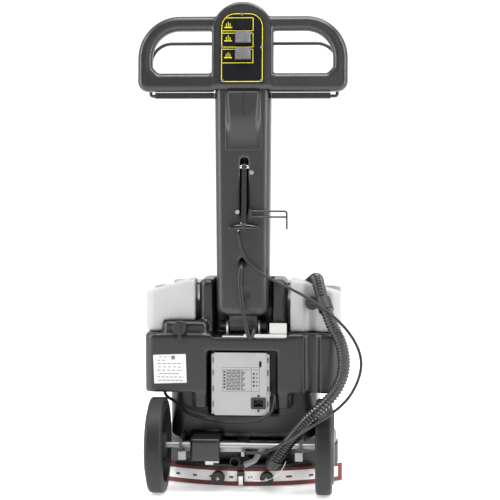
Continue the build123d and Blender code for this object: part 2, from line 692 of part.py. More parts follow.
def make_coupler():
    """Coupling on the tank's right arm that joins the two lengths of hose."""
    end = CUFF_START + CUFF_ALONG * CUFF_LENGTH
    middle = CUFF_START + CUFF_ALONG * 6
    with BuildPart() as coupler:
        add(rod((PORT[0], PORT[1] + 5.2, PORT[2]), PORT, 7))
        add(rod(PORT, (PORT[0], PORT[1] - 10, PORT[2]), 14))
        add(rod((PORT[0], PORT[1] - 6, PORT[2]), tuple(middle), 6))
        add(rod(tuple(CUFF_START), tuple(end), HOSE_D / 2 + 3))
        add(rod(tuple(CUFF_START - CUFF_ALONG), tuple(end + CUFF_ALONG), HOSE_D / 2 - 3), mode=Mode.SUBTRACT)
    save(coupler.part, "hose_coupler")
    wall = Vector(INLET_PORT.X, RISER_Y - 0.02, INLET_PORT.Z)
    with BuildPart() as port:
        add(rod(tuple(INLET_PORT), tuple(wall), HOSE_D / 2 + 0.6))
        add(rod(tuple(wall - Vector(0, 4, 0)), tuple(wall), HOSE_D / 2 + 5))
        add(rod(tuple(INLET_PORT - Vector(0, 1, 0)), tuple(wall + Vector(0, 1, 0)), HOSE_D / 2 - 3),
            mode=Mode.SUBTRACT)
        add(plain_box((INLET_PORT.X - 40, INLET_PORT.X + 40), (RISER_Y - 60, RISER_Y + 5),
                      (300, TROUGH_Z + 0.02)), mode=Mode.SUBTRACT)
    save(port.part, "tank_inlet")


# ------------------------------------------------------------------ column
PIVOT_Y = COLUMN_REAR + COLUMN_D / 2
EAR_X = 34.0
EAR_T = 4.0


def make_foot():
    """Bright steel foot plate with two ears, and the bolt on which the column tilts."""
    floor = BODY_TOP + SEAT
    with BuildPart() as bracket:
        add(plain_box((-EAR_X - 8, BLOCK_HALF + 1), (BODY_REAR + 6, SLOT_FRONT - 4), (floor, floor + 3)))
        add(plain_box((4, BLOCK_HALF + 1), (BODY_REAR + 4, BODY_REAR + 7), (floor, floor + 7)))
        add(plain_box((58, BLOCK_HALF + 1), (BODY_REAR + 9, BODY_REAR + 11), (floor, floor + 30)))
        for side in (-1, 1):
            x = side * EAR_X
            with BuildSketch(Plane.YZ.offset(x - EAR_T / 2)):
                with Locations((PIVOT_Y, PIVOT_Z)):
                    Circle(15)
                with Locations((PIVOT_Y, (floor + PIVOT_Z) / 2)):
                    Rectangle(30, PIVOT_Z - floor)
            extrude(amount=EAR_T)
        with BuildSketch(Plane.YZ.offset(-EAR_X - 10)):
            with Locations((PIVOT_Y, PIVOT_Z)):
                Circle(PIVOT_R)
        extrude(amount=2 * EAR_X + 20, mode=Mode.SUBTRACT)
    save(bracket.part, "foot_bracket")
    with BuildPart() as bolt:
        add(rod((-EAR_X - 9, PIVOT_Y, PIVOT_Z), (EAR_X + 9, PIVOT_Y, PIVOT_Z), PIVOT_R))
        for x0, x1 in ((-EAR_X - 15, -EAR_X - EAR_T / 2 - 0.02), (EAR_X + EAR_T / 2 + 0.02, EAR_X + 15)):
            add(rod((x0, PIVOT_Y, PIVOT_Z), (x1, PIVOT_Y, PIVOT_Z), PIVOT_R + 4))
    save(bolt.part, "pivot_bolt")


SLOT_Z = (579.0, 701.0)
SLOT_X = 4.0
SLOT_W = 17.0


def make_column():
    """Hollow-looking box column: tapered, round-cornered, with the lever slot and the cover bulge."""
    middle_y = COLUMN_REAR + COLUMN_D / 2
    with BuildPart() as column:
        with BuildSketch(Plane.XY.offset(COLUMN_BOTTOM)):
            with Locations((0, middle_y)):
                RectangleRounded(COLUMN_FOOT_W, COLUMN_D - 4, 20)
        with BuildSketch(Plane.XY.offset(COLUMN_TOP)):
            with Locations((0, middle_y)):
                RectangleRounded(COLUMN_W, COLUMN_D, 20)
        loft()
        fillet(column.faces().sort_by(Axis.Z)[0].edges(), 16)
        # knuckle that turns on the pivot bolt
        with BuildSketch(Plane.YZ.offset(-EAR_X + EAR_T / 2 + 1)):
            with Locations((PIVOT_Y, PIVOT_Z)):
                Circle(16)
            with Locations((PIVOT_Y, (PIVOT_Z + COLUMN_BOTTOM + 4) / 2)):
                Rectangle(32, COLUMN_BOTTOM + 4 - PIVOT_Z)
        extrude(amount=2 * EAR_X - EAR_T - 2)
        with BuildSketch(Plane.YZ.offset(-EAR_X - 10)):
            with Locations((PIVOT_Y, PIVOT_Z)):
                Circle(PIVOT_R + RUN)
        extrude(amount=2 * EAR_X + 20, mode=Mode.SUBTRACT)
        # slot in which the lift lever lies
        add(plain_box((SLOT_X - SLOT_W / 2, SLOT_X + SLOT_W / 2), (COLUMN_REAR - 10, COLUMN_REAR + 34),
                      SLOT_Z), mode=Mode.SUBTRACT)
        # bore of the upper bolt, which is pressed into the lever's sides
        add(rod((SLOT_X - 26, LEVER_Y, LEVER_PIVOT_Z), (SLOT_X + 26, LEVER_Y, LEVER_PIVOT_Z), 4 + RUN),
            mode=Mode.SUBTRACT)
        # dimple low on the rear face
        add(rod((5, COLUMN_REAR - 5, 417), (5, COLUMN_REAR + 4, 417), 11), mode=Mode.SUBTRACT)
        # hole for the wiring
        add(rod((0, COLUMN_REAR - 5, 483), (0, COLUMN_REAR + 30, 483), 7.5), mode=Mode.SUBTRACT)
    save(column.part, "column")
    with BuildPart() as cover:
        with BuildSketch(Plane.XZ.offset(-COLUMN_REAR + 0.05)):
            with Locations((2, COLUMN_TOP - 74)):
                RectangleRounded(76, 122, 34)
        extrude(amount=11)
        fillet(cover.faces().sort_by(Axis.Y)[0].edges(), 8)
    save(cover.part, "column_cover")


LEVER_Y = COLUMN_REAR + 9.0
T_Y = COLUMN_REAR - 11.0


def make_lever():
    """Lift lever in the column's slot, its cross handle, and the bolts on which it turns."""
    with BuildPart() as lever:
        with BuildSketch(Plane.YZ.offset(SLOT_X - 5)):
            with BuildLine():
                Polyline(
                    (LEVER_Y - 5, LEVER_PIVOT_Z),
                    (T_Y - 5, LEVER_END_Z + 8.5),
                    (T_Y + 5, LEVER_END_Z + 8.5),
                    (LEVER_Y + 6, LEVER_PIVOT_Z),
                    (LEVER_Y - 5, LEVER_PIVOT_Z),
                )
            make_face()
            with Locations((LEVER_Y, LEVER_PIVOT_Z)):
                Circle(8)
                Circle(4, mode=Mode.SUBTRACT)
        extrude(amount=10)
    save(lever.part, "lift_lever")
    with BuildPart() as cross:
        half = T_HANDLE_W / 2
        add(rod((SLOT_X - half, T_Y, LEVER_END_Z), (SLOT_X + half, T_Y, LEVER_END_Z), 7.5))
        fillet(cross.edges().filter_by(GeomType.CIRCLE), 3)
        add(plain_box((SLOT_X - 7, SLOT_X + 7), (T_Y - 7, T_Y + 7), (LEVER_END_Z - 6, LEVER_END_Z + 8.48)))
    save(cross.part, "t_handle")
    with BuildPart() as bolt:
        add(rod((SLOT_X - 24, LEVER_Y, LEVER_PIVOT_Z), (SLOT_X + 24, LEVER_Y, LEVER_PIVOT_Z), 4))
        for x, z in ((20, 671), (-10, 588)):
            add(rod((x, COLUMN_REAR - 4, z), (x, COLUMN_REAR - 0.02, z), 4.5))
    save(bolt.part, "lever_bolts")
    with BuildPart() as hook:
        with BuildLine() as wire:
            hook_y = COLUMN_REAR - 8
            FilletPolyline((14, hook_y, 590), (94, hook_y, 590), (94, hook_y, 552), radius=5)
        with BuildSketch(Plane(origin=wire.line @ 0, z_dir=wire.line % 0)):
            Circle(2)
        sweep(path=wire.line)
        add(rod((14, COLUMN_REAR - 8, 578), (90, COLUMN_REAR - 8, 578), 2))
        add(rod((90, COLUMN_REAR - 8, 578), (94, COLUMN_REAR - 8, 578), 2))
        add(plain_box((14, 22), (COLUMN_REAR - 10, COLUMN_REAR - 0.02), (573, 595)))
    save(hook.part, "cord_hook")


# ------------------------------------------------------------------ handle
FACE_OUT = 18.0
HEAD_BACK = -26.0
LOOP_CORNER = 88.0
LOOP_FOOT = 22.0
PANEL_LOW = -67.0
SWITCH_W = 33.0
SWITCH_H = 25.0
SWITCH_X = 2.0
SWITCH_AT = (31.0, -3.5)
READOUT_AT = 60.0


def loop_opening(side):
    """Outline of one hand opening, drawn in the handle's plane."""
    inner = HEAD_W / 2 - 1
    outer = HANDLE_HALF - BAR_T
    low = -UPPER_BAR_AT + LOWER_BAR_H / 2
    high = UPPER_BAR_AT - BAR_T / 2
    corner = LOOP_CORNER - BAR_T
    with BuildSketch() as opening:
        with BuildLine():
            Line((side * inner, low), (side * (outer - 12), low))
            Line((side * (outer - 12), low), (side * outer, low + 12))
            Line((side * outer, low + 12), (side * outer, high - corner))
            ThreePointArc(
                (side * outer, high - corner),
                (side * (outer - corner * (1 - math.sqrt(0.5))), high - corner * (1 - math.sqrt(0.5))),
                (side * (outer - corner), high),
            )
            Line((side * (outer - corner), high), (side * inner, high))
            Line((side * inner, high), (side * inner, low))
        make_face()
    return opening.sketch


def arched(half, low, high, rise):
    """Outline with a straight foot, upright sides and a round top, drawn in the handle's plane."""
    with BuildSketch() as outline:
        with BuildLine():
            Line((-half, high - rise), (-half, low))
            Line((-half, low), (half, low))
            Line((half, low), (half, high - rise))
            ThreePointArc((half, high - rise), (0, high), (-half, high - rise))
        make_face()
    return outline.sketch


def arched_block(half, low, high, rise):
    """The head as a block with its operator-side rim rounded."""
    with BuildPart() as head:
        with BuildSketch(HANDLE.offset(HEAD_BACK)):
            add(arched(half, low, high, rise))
        extrude(amount=FACE_OUT - HEAD_BACK)
        face = head.faces().filter_by(HANDLE).sort_by(Axis(HANDLE.origin, HANDLE.z_dir))[-1]
        fillet(face.outer_wire().edges(), 7)
    return head.part


def make_handle():
    """Head with two closed hand loops in one plane."""
    top = UPPER_BAR_AT + BAR_T / 2
    bottom = -UPPER_BAR_AT - LOWER_BAR_H / 2
    head = arched_block(HEAD_W / 2, HEAD_BOTTOM_AT, HEAD_TOP_AT, HEAD_W * 0.42)
    with BuildPart() as grip:
        with BuildSketch(HANDLE.offset(-BAR_T / 2)):
            with Locations((0, (top + bottom) / 2)):
                Rectangle(2 * HANDLE_HALF, top - bottom)
        extrude(amount=BAR_T)
        uprights = grip.edges().filter_by(Axis((0, 0, 0), HANDLE.z_dir))
        fillet(uprights.filter_by(lambda e: e.center().Z > HANDLE_Z), LOOP_CORNER)
        uprights = grip.edges().filter_by(Axis((0, 0, 0), HANDLE.z_dir))
        fillet(uprights.filter_by(lambda e: e.center().Z < HANDLE_Z - UPPER_BAR_AT), LOOP_FOOT)
        with BuildSketch(HANDLE.offset(-BAR_T)):
            for side in (-1, 1):
                add(loop_opening(side))
        extrude(amount=2 * BAR_T, mode=Mode.SUBTRACT)
        fillet(grip.faces().filter_by(HANDLE).edges(), BAR_T * 0.4)
        add(head)
        half = COLUMN_W / 2 + SEAT
        depth = (COLUMN_REAR - SEAT, COLUMN_REAR + COLUMN_D + SEAT)
        add(plain_box((-half, half), depth, (COLUMN_TOP - 60, COLUMN_TOP + 0.02)), mode=Mode.SUBTRACT)
    save(grip.part, "handle")


def make_panel():
    """Control panel with its screws, read-out window, two rockers and their clear caps."""
    at_face = FACE_OUT + 0.02
    with BuildPart() as panel:
        with BuildSketch(HANDLE.offset(at_face)):
            add(arched(PANEL_W / 2, PANEL_LOW, PANEL_LOW + PANEL_H, PANEL_W * 0.42))
        extrude(amount=1.6)
        with BuildSketch(HANDLE.offset(at_face + 2)):
            with Locations(*((SWITCH_X, at) for at in SWITCH_AT)):
                Rectangle(SWITCH_W - 7, SWITCH_H - 5)
        extrude(amount=-4, mode=Mode.SUBTRACT)
        with BuildSketch(HANDLE.offset(at_face + 1.6)):
            with Locations((SWITCH_X, READOUT_AT)):
                RectangleRounded(SWITCH_W + 4, SWITCH_H - 1, 2)
        extrude(amount=1.2)
    save(panel.part, "control_panel")
    with BuildPart() as screws:
        spots = ((0, 78.5), (-41, 9.5), (41, 9.5), (-40, -60), (40, -60))
        with BuildSketch(HANDLE.offset(at_face + 1.62)):
            with Locations(*spots):
                Circle(3)
        extrude(amount=1.4)
    save(screws.part, "panel_screws")
    with BuildPart() as caps:
        for at in SWITCH_AT:
            for out, thick, outer, inner in ((1.62, 3, 0, 8), (4.62, 5.4, 2, 5)):
                with BuildSketch(HANDLE.offset(at_face + out)):
                    with Locations((SWITCH_X, at)):
                        RectangleRounded(SWITCH_W - outer, SWITCH_H - outer, 1.5)
                        Rectangle(SWITCH_W - inner, SWITCH_H - inner, mode=Mode.SUBTRACT)
                extrude(amount=thick)
            with BuildSketch(HANDLE.offset(at_face + 10)):
                with Locations((SWITCH_X, at)):
                    RectangleRounded(SWITCH_W - 2, SWITCH_H - 2, 1.5)
            extrude(amount=1.2)
    save(caps.part, "switch_caps")
    for at, name in zip(SWITCH_AT, ("brush", "vacuum")):
        pivot = Plane(origin=handle_point(SWITCH_X, at, at_face + 1.6), x_dir=(0, 0, 1), z_dir=(1, 0, 0))
        with BuildPart() as rocker:
            with BuildSketch(pivot.offset(-SWITCH_W / 2 + 5)):
                Circle(6.2)
            extrude(amount=SWITCH_W - 10)
            with BuildSketch(HANDLE.offset(at_face - 6)):
                with Locations((SWITCH_X, at)):
                    Rectangle(SWITCH_W, SWITCH_H)
            extrude(amount=6 + 1.5, mode=Mode.SUBTRACT)
        save(rocker.part, f"{name}_rocker")


BAIL_X = 198.0
BAIL_Y = HANDLE_Y + 30.0
RAIL_H = 12.0
HANDLE_FOOT_Z = HANDLE_Z - (UPPER_BAR_AT + LOWER_BAR_H / 2) * math.cos(math.radians(HANDLE_LEAN)) - 1.4
RAIL_Z = HANDLE_FOOT_Z - RAIL_H / 2
RAIL_IN = COLUMN_W / 2 + 2


def make_bail():
    """Squeeze bar behind the loops, and the two rails under the handle on which it pivots."""
    stub = 24.0
    points = [
        (-BAIL_X + stub, BAIL_Y, RAIL_Z),
        (-BAIL_X, BAIL_Y, RAIL_Z),
        (-BAIL_X, BAIL_Y + 14, BAIL_Z),
        (BAIL_X, BAIL_Y + 14, BAIL_Z),
        (BAIL_X, BAIL_Y, RAIL_Z),
        (BAIL_X - stub, BAIL_Y, RAIL_Z),
    ]
    with BuildPart() as bail:
        with BuildLine() as wire:
            FilletPolyline(*points, radius=[5, 44, 44, 5])
        with BuildSketch(Plane(origin=wire.line @ 0, z_dir=wire.line % 0)):
            Circle(BAIL_R)
        sweep(path=wire.line)
    save(bail.part, "bail")
    with BuildPart() as rails:
        for side in (-1, 1):
            lo, hi = sorted((side * RAIL_IN, side * (BAIL_X - 14)))
            add(plain_box((lo, hi), (HANDLE_Y - 8, BAIL_Y + 8), (RAIL_Z - RAIL_H / 2, RAIL_Z + RAIL_H / 2)))
        for end in (-BAIL_X, BAIL_X - 2 * stub):
            pin = (end + 2 * stub, BAIL_Y, RAIL_Z)
            add(rod((end, BAIL_Y, RAIL_Z), pin, BAIL_R + RUN), mode=Mode.SUBTRACT)
    save(rails.part, "bail_rails")


# ------------------------------------------------------------------ squeegee
ARC_Y = SQUEEGEE_Y + SQUEEGEE_R


def curved_strip(radius, half, thick, zs):
    """An upright strip that follows the squeegee's curve, open side forwards."""
    reach = math.degrees(math.asin(half / radius))
    with BuildPart() as strip:
        with BuildSketch(Plane.XY.offset(zs[0])):
            with BuildLine():
                outer = CenterArc((0, ARC_Y), radius, 270 - reach, 2 * reach)
                inner = CenterArc((0, ARC_Y), radius - thick, 270 - reach, 2 * reach)
                Line(outer @ 0, inner @ 0)
                Line(outer @ 1, inner @ 1)
            make_face()
        extrude(amount=zs[1] - zs[0])
    return strip.part


def make_squeegee():
    """Curved squeegee: carrier, two blades, clamp straps, hand knobs, centre latch and suction mouth."""
    blade_z = (2.0, 2.0 + BLADE_H)
    strap_z = (12.0, 12.0 + STRAP_H)
    body_in = SQUEEGEE_R - STRAP_T - BLADE_T - 0.04
    with BuildPart() as strap:
        add(curved_strip(SQUEEGEE_R, SQUEEGEE_HALF - 9, STRAP_T, strap_z))
        for x, w in ((-142, 9), (-104, 9), (-66, 13), (-25, 9), (16, 9), (98, 13), (145, 9), (188, 9)):
            with Locations((x, SQUEEGEE_Y + 20, 21)):
                Box(w, 60, 4.5, mode=Mode.SUBTRACT)
    save(strap.part, "blade_strap")
    with BuildPart() as blades:
        add(curved_strip(SQUEEGEE_R - STRAP_T - 0.02, SQUEEGEE_HALF, BLADE_T, blade_z))
        add(curved_strip(body_in - 29.02, SQUEEGEE_HALF - 20, BLADE_T, blade_z))
    save(blades.part, "squeegee_blades")
    with BuildPart() as carrier:
        add(curved_strip(body_in, CARRIER_HALF, 29, (blade_z[1] - 8, blade_z[1] + 7)))
        add(curved_strip(body_in, SQUEEGEE_HALF - 4, 29, (blade_z[1] - 8, blade_z[1] - 4)))
        add(curved_strip(body_in, SQUEEGEE_HALF - 4, 5, (14, blade_z[1] - 4)))
        add(curved_strip(body_in - 24, SQUEEGEE_HALF - 18, 5, (14, blade_z[1] - 4)))
        add(rod(MOUTH, tuple(MOUTH_BEND), MOUTH_R))
        with Locations(tuple(MOUTH_BEND)):
            Sphere(MOUTH_R)
        add(rod(tuple(MOUTH_BEND), HOSE_ROUTE[0], MOUTH_R))
    save(carrier.part, "squeegee_carrier")
    for side, name in ((-1, "left"), (1, "right")):
        x = side * KNOB_X
        with BuildPart() as knob:
            add(rod((x, SQUEEGEE_Y - 4, 22), (x, SQUEEGEE_Y - 20, 22), KNOB_R))
            fillet(knob.edges().filter_by(GeomType.CIRCLE).filter_by(lambda e: e.radius > KNOB_R - 0.1), 2.5)
            add(rod((x, SQUEEGEE_Y - 20, 22), (x, SQUEEGEE_Y - 21.5, 22), 4))
        save(knob.part, f"knob_{name}")
    with BuildPart() as clamp:
        add(plain_box((-11, 4), (SQUEEGEE_Y - 6, SQUEEGEE_Y - 0.6), (8, 36)))
        add(plain_box((-11, 4), (SQUEEGEE_Y - 14, SQUEEGEE_Y - 5), (26, 36)))
    save(clamp.part, "latch_base")
    with BuildPart() as latch:
        add(plain_box((-8, 1), (SQUEEGEE_Y - 11, SQUEEGEE_Y - 6.6), (6, 25.6)))
    save(latch.part, "centre_latch")
    foot = blade_z[1] + 7.02
    with BuildPart() as arm:
        with BuildSketch(Plane.YZ.offset(-ARM_HALF)):
            with BuildLine():
                Polyline(
                    (SQUEEGEE_Y + 8, foot),
                    (SQUEEGEE_Y + 34, foot),
                    (SQUEEGEE_Y + 42, LIFT_Z - 9),
                    (LIFT_Y, LIFT_Z - 8),
                    (LIFT_Y, LIFT_Z + 8),
                    (SQUEEGEE_Y + 40, LIFT_Z + 4),
                    (SQUEEGEE_Y + 8, foot),
                )
            make_face()
            with Locations((LIFT_Y, LIFT_Z)):
                Circle(8)
                Circle(LIFT_PIN_R + RUN, mode=Mode.SUBTRACT)
        extrude(amount=2 * ARM_HALF)
    save(arm.part, "squeegee_arm")


MOUTH_R = 13.5
MOUTH = (66.0, SQUEEGEE_Y + 16.0, 56.0)
MOUTH_BEND = Vector(66.0, -213.0, 64.0)
HOSE_RISE = Vector(103.0, -238.0, 118.0)
HOSE_ROUTE = [
    tuple(MOUTH_BEND + (HOSE_RISE - MOUTH_BEND).normalized() * 15),
    tuple(HOSE_RISE),
    (147.0, -286.0, 178.0),
    (196.0, -289.0, 223.0),
    (218.0, -262.0, 271.0),
    (211.0, -230.0, 321.0),
    tuple(CUFF_START - CUFF_ALONG * 32),
    tuple(CUFF_START),
]


# ------------------------------------------------------------------ water side under the body
VALVE_X = -65.0
VALVE_Z = 65.0


def make_drains():
    """Water filter and elbow of the brush feed, the drain pipe and the clear drain spout."""
    y = AXLE_Y + 30
    with BuildPart() as valve:
        add(rod((VALVE_X - 12, y, VALVE_Z), (VALVE_X + 4, y, VALVE_Z), 13))
        add(rod((VALVE_X + 4, y, VALVE_Z), (VALVE_X + 16, y, VALVE_Z), 9))
        add(rod((VALVE_X - 2, y, VALVE_Z), (VALVE_X - 2, y, BELLY_BOTTOM - 6), 7))
        add(rod((VALVE_X - 2, y, BELLY_BOTTOM - 8), (VALVE_X - 2, BELLY_REAR - 4.02, BELLY_BOTTOM - 8), 5))
    save(valve.part, "feed_elbow")
    with BuildPart() as pipe:
        add(rod((-14, AXLE_Y + 18, 60), (-14, AXLE_Y + 46, 60), 11))
        add(rod((-14, AXLE_Y + 15, 60), (-14, AXLE_Y + 41, 60), 8.5), mode=Mode.SUBTRACT)
        add(rod((-14, AXLE_Y + 38, 66), (-14, AXLE_Y + 38, BELLY_BOTTOM - 3.42), 6))
    save(pipe.part, "drain_pipe")
    with BuildPart() as spout:
        with BuildLine() as route:
            FilletPolyline((6, AXLE_Y + 12, 56), (28, AXLE_Y + 13, 66), (47, AXLE_Y + 16, 94), radius=18)
        with BuildSketch(Plane(origin=route.line @ 0, z_dir=route.line % 0)):
            Circle(6)
            Circle(4.2, mode=Mode.SUBTRACT)
        sweep(path=route.line)
    save(spout.part, "drain_spout")


# ------------------------------------------------------------------ flexible lines
def make_lines():
    """The two hoses, the lift cable, the wiring, the charger's lead and the spout's tether."""
    cuff_end = CUFF_START + CUFF_ALONG * CUFF_LENGTH
    line_piece("suction_hose", HOSE_ROUTE, HOSE_D)
    line_piece("tank_hose", [
        tuple(cuff_end),
        tuple(cuff_end + CUFF_ALONG * 30),
        (157, -118, 449),
        (140, -66, 430),
        (INLET_PORT.X, RISER_Y - 46, INLET_PORT.Z),
        tuple(INLET_PORT),
    ], HOSE_D)
    line_piece("lift_cable", [
        (-9, COLUMN_REAR - 9, 545),
        (-6, COLUMN_REAR - 10, 516),
        (12, COLUMN_REAR - 12, 480),
        (58, COLUMN_REAR - 20, 449),
        (122, COLUMN_REAR - 36, 422),
        (180, COLUMN_REAR - 58, 388),
        (228, COLUMN_REAR - 77, 344),
        (252, COLUMN_REAR - 88, 296),
        (247, COLUMN_REAR - 102, 252),
        (219, COLUMN_REAR - 126, 206),
        (158, COLUMN_REAR - 148, 166),
        (98, COLUMN_REAR - 108, 122),
        (54, COLUMN_REAR - 56, 89),
        (40, CABLE_END[1], CABLE_END[2]),
        CABLE_END,
    ], SHEATH_D)
    line_piece("harness", [
        (0, COLUMN_REAR + 26, 483),
        (0, COLUMN_REAR - 14, 480),
        (-5, COLUMN_REAR - 18, 448),
        (0, COLUMN_REAR - 20, 398),
        (9, COLUMN_REAR - 22, 348),
        (18, BODY_REAR - 12, 318),
        (26, BODY_REAR - 2, 341),
        (26, BODY_REAR + 22, 345),
        (26, BODY_REAR + 22, BODY_TOP + SEAT + 3.02),
    ], HARNESS_D)
    lead_y = CHARGER_FACE + 12
    line_piece("charger_lead", [
        (CHARGER_X + CHARGER_W / 2 + LEAD_OUT, lead_y, LEAD_Z),
        (CHARGER_X + CHARGER_W / 2 + LEAD_OUT + 9, lead_y, LEAD_Z),
        (70, lead_y - 16, 190),
        (66, lead_y - 18, 168),
        (44, lead_y - 18, 152),
        (-12, lead_y - 10, 141),
        (-86, lead_y - 2, 150),
        (-126, lead_y + 10, 163),
        (-143, lead_y + 15, 183),
        (-168, lead_y + 20, 194),
        (-168, lead_y + 20, BODY_BOTTOM - 0.02),
    ], LEAD_D)
    line_piece("tether_wire", [
        (5, AXLE_Y + 6, 52),
        (13, AXLE_Y - 14, 38),
        (40, AXLE_Y - 18, 27),
        (68, AXLE_Y - 20, 35),
        (89, AXLE_Y - 20, 54),
        (96, AXLE_Y - 22, 74),
    ], TETHER_D)


for make in (make_wheels, make_frame, make_body, make_filler, make_charger, make_inside, make_brush,
             make_tank, make_lid, make_coupler, make_foot, make_column, make_lever, make_handle,
             make_panel, make_bail, make_squeegee, make_drains, make_lines):
    make()
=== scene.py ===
"""Looks of the walk-behind floor scrubber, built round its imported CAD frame."""

import math

import bmesh
import bpy
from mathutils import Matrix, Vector


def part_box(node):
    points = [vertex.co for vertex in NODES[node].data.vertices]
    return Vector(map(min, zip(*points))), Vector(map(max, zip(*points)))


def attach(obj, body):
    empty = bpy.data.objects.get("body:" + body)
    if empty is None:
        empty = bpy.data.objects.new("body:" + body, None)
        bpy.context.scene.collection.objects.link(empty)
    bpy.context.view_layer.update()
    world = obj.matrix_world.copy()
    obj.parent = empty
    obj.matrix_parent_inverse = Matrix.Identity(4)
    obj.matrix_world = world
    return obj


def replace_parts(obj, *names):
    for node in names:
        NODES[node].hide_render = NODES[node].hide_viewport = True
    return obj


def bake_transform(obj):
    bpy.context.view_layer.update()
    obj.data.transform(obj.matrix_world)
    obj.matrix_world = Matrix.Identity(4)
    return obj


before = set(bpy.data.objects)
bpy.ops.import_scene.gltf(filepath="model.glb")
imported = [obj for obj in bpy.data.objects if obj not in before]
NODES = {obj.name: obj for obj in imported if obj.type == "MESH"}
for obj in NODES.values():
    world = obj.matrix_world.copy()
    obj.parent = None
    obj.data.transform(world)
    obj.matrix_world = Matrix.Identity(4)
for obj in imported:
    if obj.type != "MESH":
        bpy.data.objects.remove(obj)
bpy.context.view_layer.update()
SCENE = bpy.context.scene

# ---------------------------------------------------------------- camera
CAMERA_DISTANCE = 3.1
CAMERA_TURN = math.radians(3.8)      # the camera stands to the operator's right
CAMERA_HEIGHT = 0.72
CAMERA_SHIFT = 0.017                 # and a little further that way
CAMERA_PITCH = math.radians(3.9)
CAMERA_LENS = 106.7
BACK_PLANE = -0.17                   # the flat back of the body


def make_camera():
    data = bpy.data.cameras.new("camera")
    data.lens = CAMERA_LENS
    data.sensor_width = 36
    camera = bpy.data.objects.new("camera", data)
    SCENE.collection.objects.link(camera)
    back = Vector((math.sin(CAMERA_TURN), -math.cos(CAMERA_TURN), 0))
    side = Vector((math.cos(CAMERA_TURN), math.sin(CAMERA_TURN), 0))
    stand = Vector((0, BACK_PLANE, CAMERA_HEIGHT))
    camera.location = stand + back * CAMERA_DISTANCE + side * CAMERA_SHIFT
    down = Vector((0, 0, -1))
    look = -back * math.cos(CAMERA_PITCH) + down * math.sin(CAMERA_PITCH)
    camera.rotation_euler = look.to_track_quat("-Z", "Y").to_euler()
    SCENE.camera = camera


make_camera()


# ---------------------------------------------------------------- materials
BROAD_SCALE = 9.0             # patches of slightly lighter and darker colour, per metre
BROAD_DETAIL = 6.0
FINE_DETAIL = 3.0
ROUGH_SPREAD = 0.07           # how far the roughness wanders to each side
BRUSH_STRETCH = (0.03, 1, 1)  # brushed metal has its grain drawn out along X


def socket(shader, name, value):
    if name in shader.inputs:
        shader.inputs[name].default_value = value


def material(name, colour, rough, grain, grain_size, wear, metal=0.0, see_through=0.0, coat=0.0,
             brushed=False, depth=0.0006, shine=0.5):
    """A node material: colour broken up by noise, uneven roughness, and a fine bump for grain."""
    mat = bpy.data.materials.new(name)
    mat.use_nodes = True
    nodes, links = mat.node_tree.nodes, mat.node_tree.links
    shader = nodes["Principled BSDF"]
    socket(shader, "Metallic", metal)
    socket(shader, "Coat Weight", coat)
    socket(shader, "Specular IOR Level", shine)
    if see_through:
        socket(shader, "Transmission Weight", see_through)
        socket(shader, "IOR", 1.45)
    place = nodes.new("ShaderNodeTexCoord")
    broad = nodes.new("ShaderNodeTexNoise")
    broad.inputs["Scale"].default_value = BROAD_SCALE
    broad.inputs["Detail"].default_value = BROAD_DETAIL
    links.new(place.outputs["Object"], broad.inputs["Vector"])
    mix = nodes.new("ShaderNodeMix")
    mix.data_type = "RGBA"
    low = [max(0.0, c * (1 - wear * 2)) for c in colour]
    high = [min(1.0, c * (1 + wear * 2) + wear * 0.01) for c in colour]
    mix.inputs["A"].default_value = (*low, 1)
    mix.inputs["B"].default_value = (*high, 1)
    links.new(broad.outputs["Fac"], mix.inputs["Factor"])
    links.new(mix.outputs["Result"], shader.inputs["Base Color"])
    fine = nodes.new("ShaderNodeTexNoise")
    fine.inputs["Scale"].default_value = grain_size
    fine.inputs["Detail"].default_value = FINE_DETAIL
    if brushed:
        stretch = nodes.new("ShaderNodeMapping")
        stretch.inputs["Scale"].default_value = BRUSH_STRETCH
        links.new(place.outputs["Object"], stretch.inputs["Vector"])
        links.new(stretch.outputs["Vector"], fine.inputs["Vector"])
    else:
        links.new(place.outputs["Object"], fine.inputs["Vector"])
    span = nodes.new("ShaderNodeMapRange")
    span.inputs["To Min"].default_value = max(0.02, rough - ROUGH_SPREAD)
    span.inputs["To Max"].default_value = min(1.0, rough + ROUGH_SPREAD)
    links.new(fine.outputs["Fac"], span.inputs["Value"])
    links.new(span.outputs["Result"], shader.inputs["Roughness"])
    if grain:
        bump = nodes.new("ShaderNodeBump")
        bump.inputs["Strength"].default_value = grain
        bump.inputs["Distance"].default_value = depth
        links.new(fine.outputs["Fac"], bump.inputs["Height"])
        links.new(bump.outputs["Normal"], shader.inputs["Normal"])
    return mat


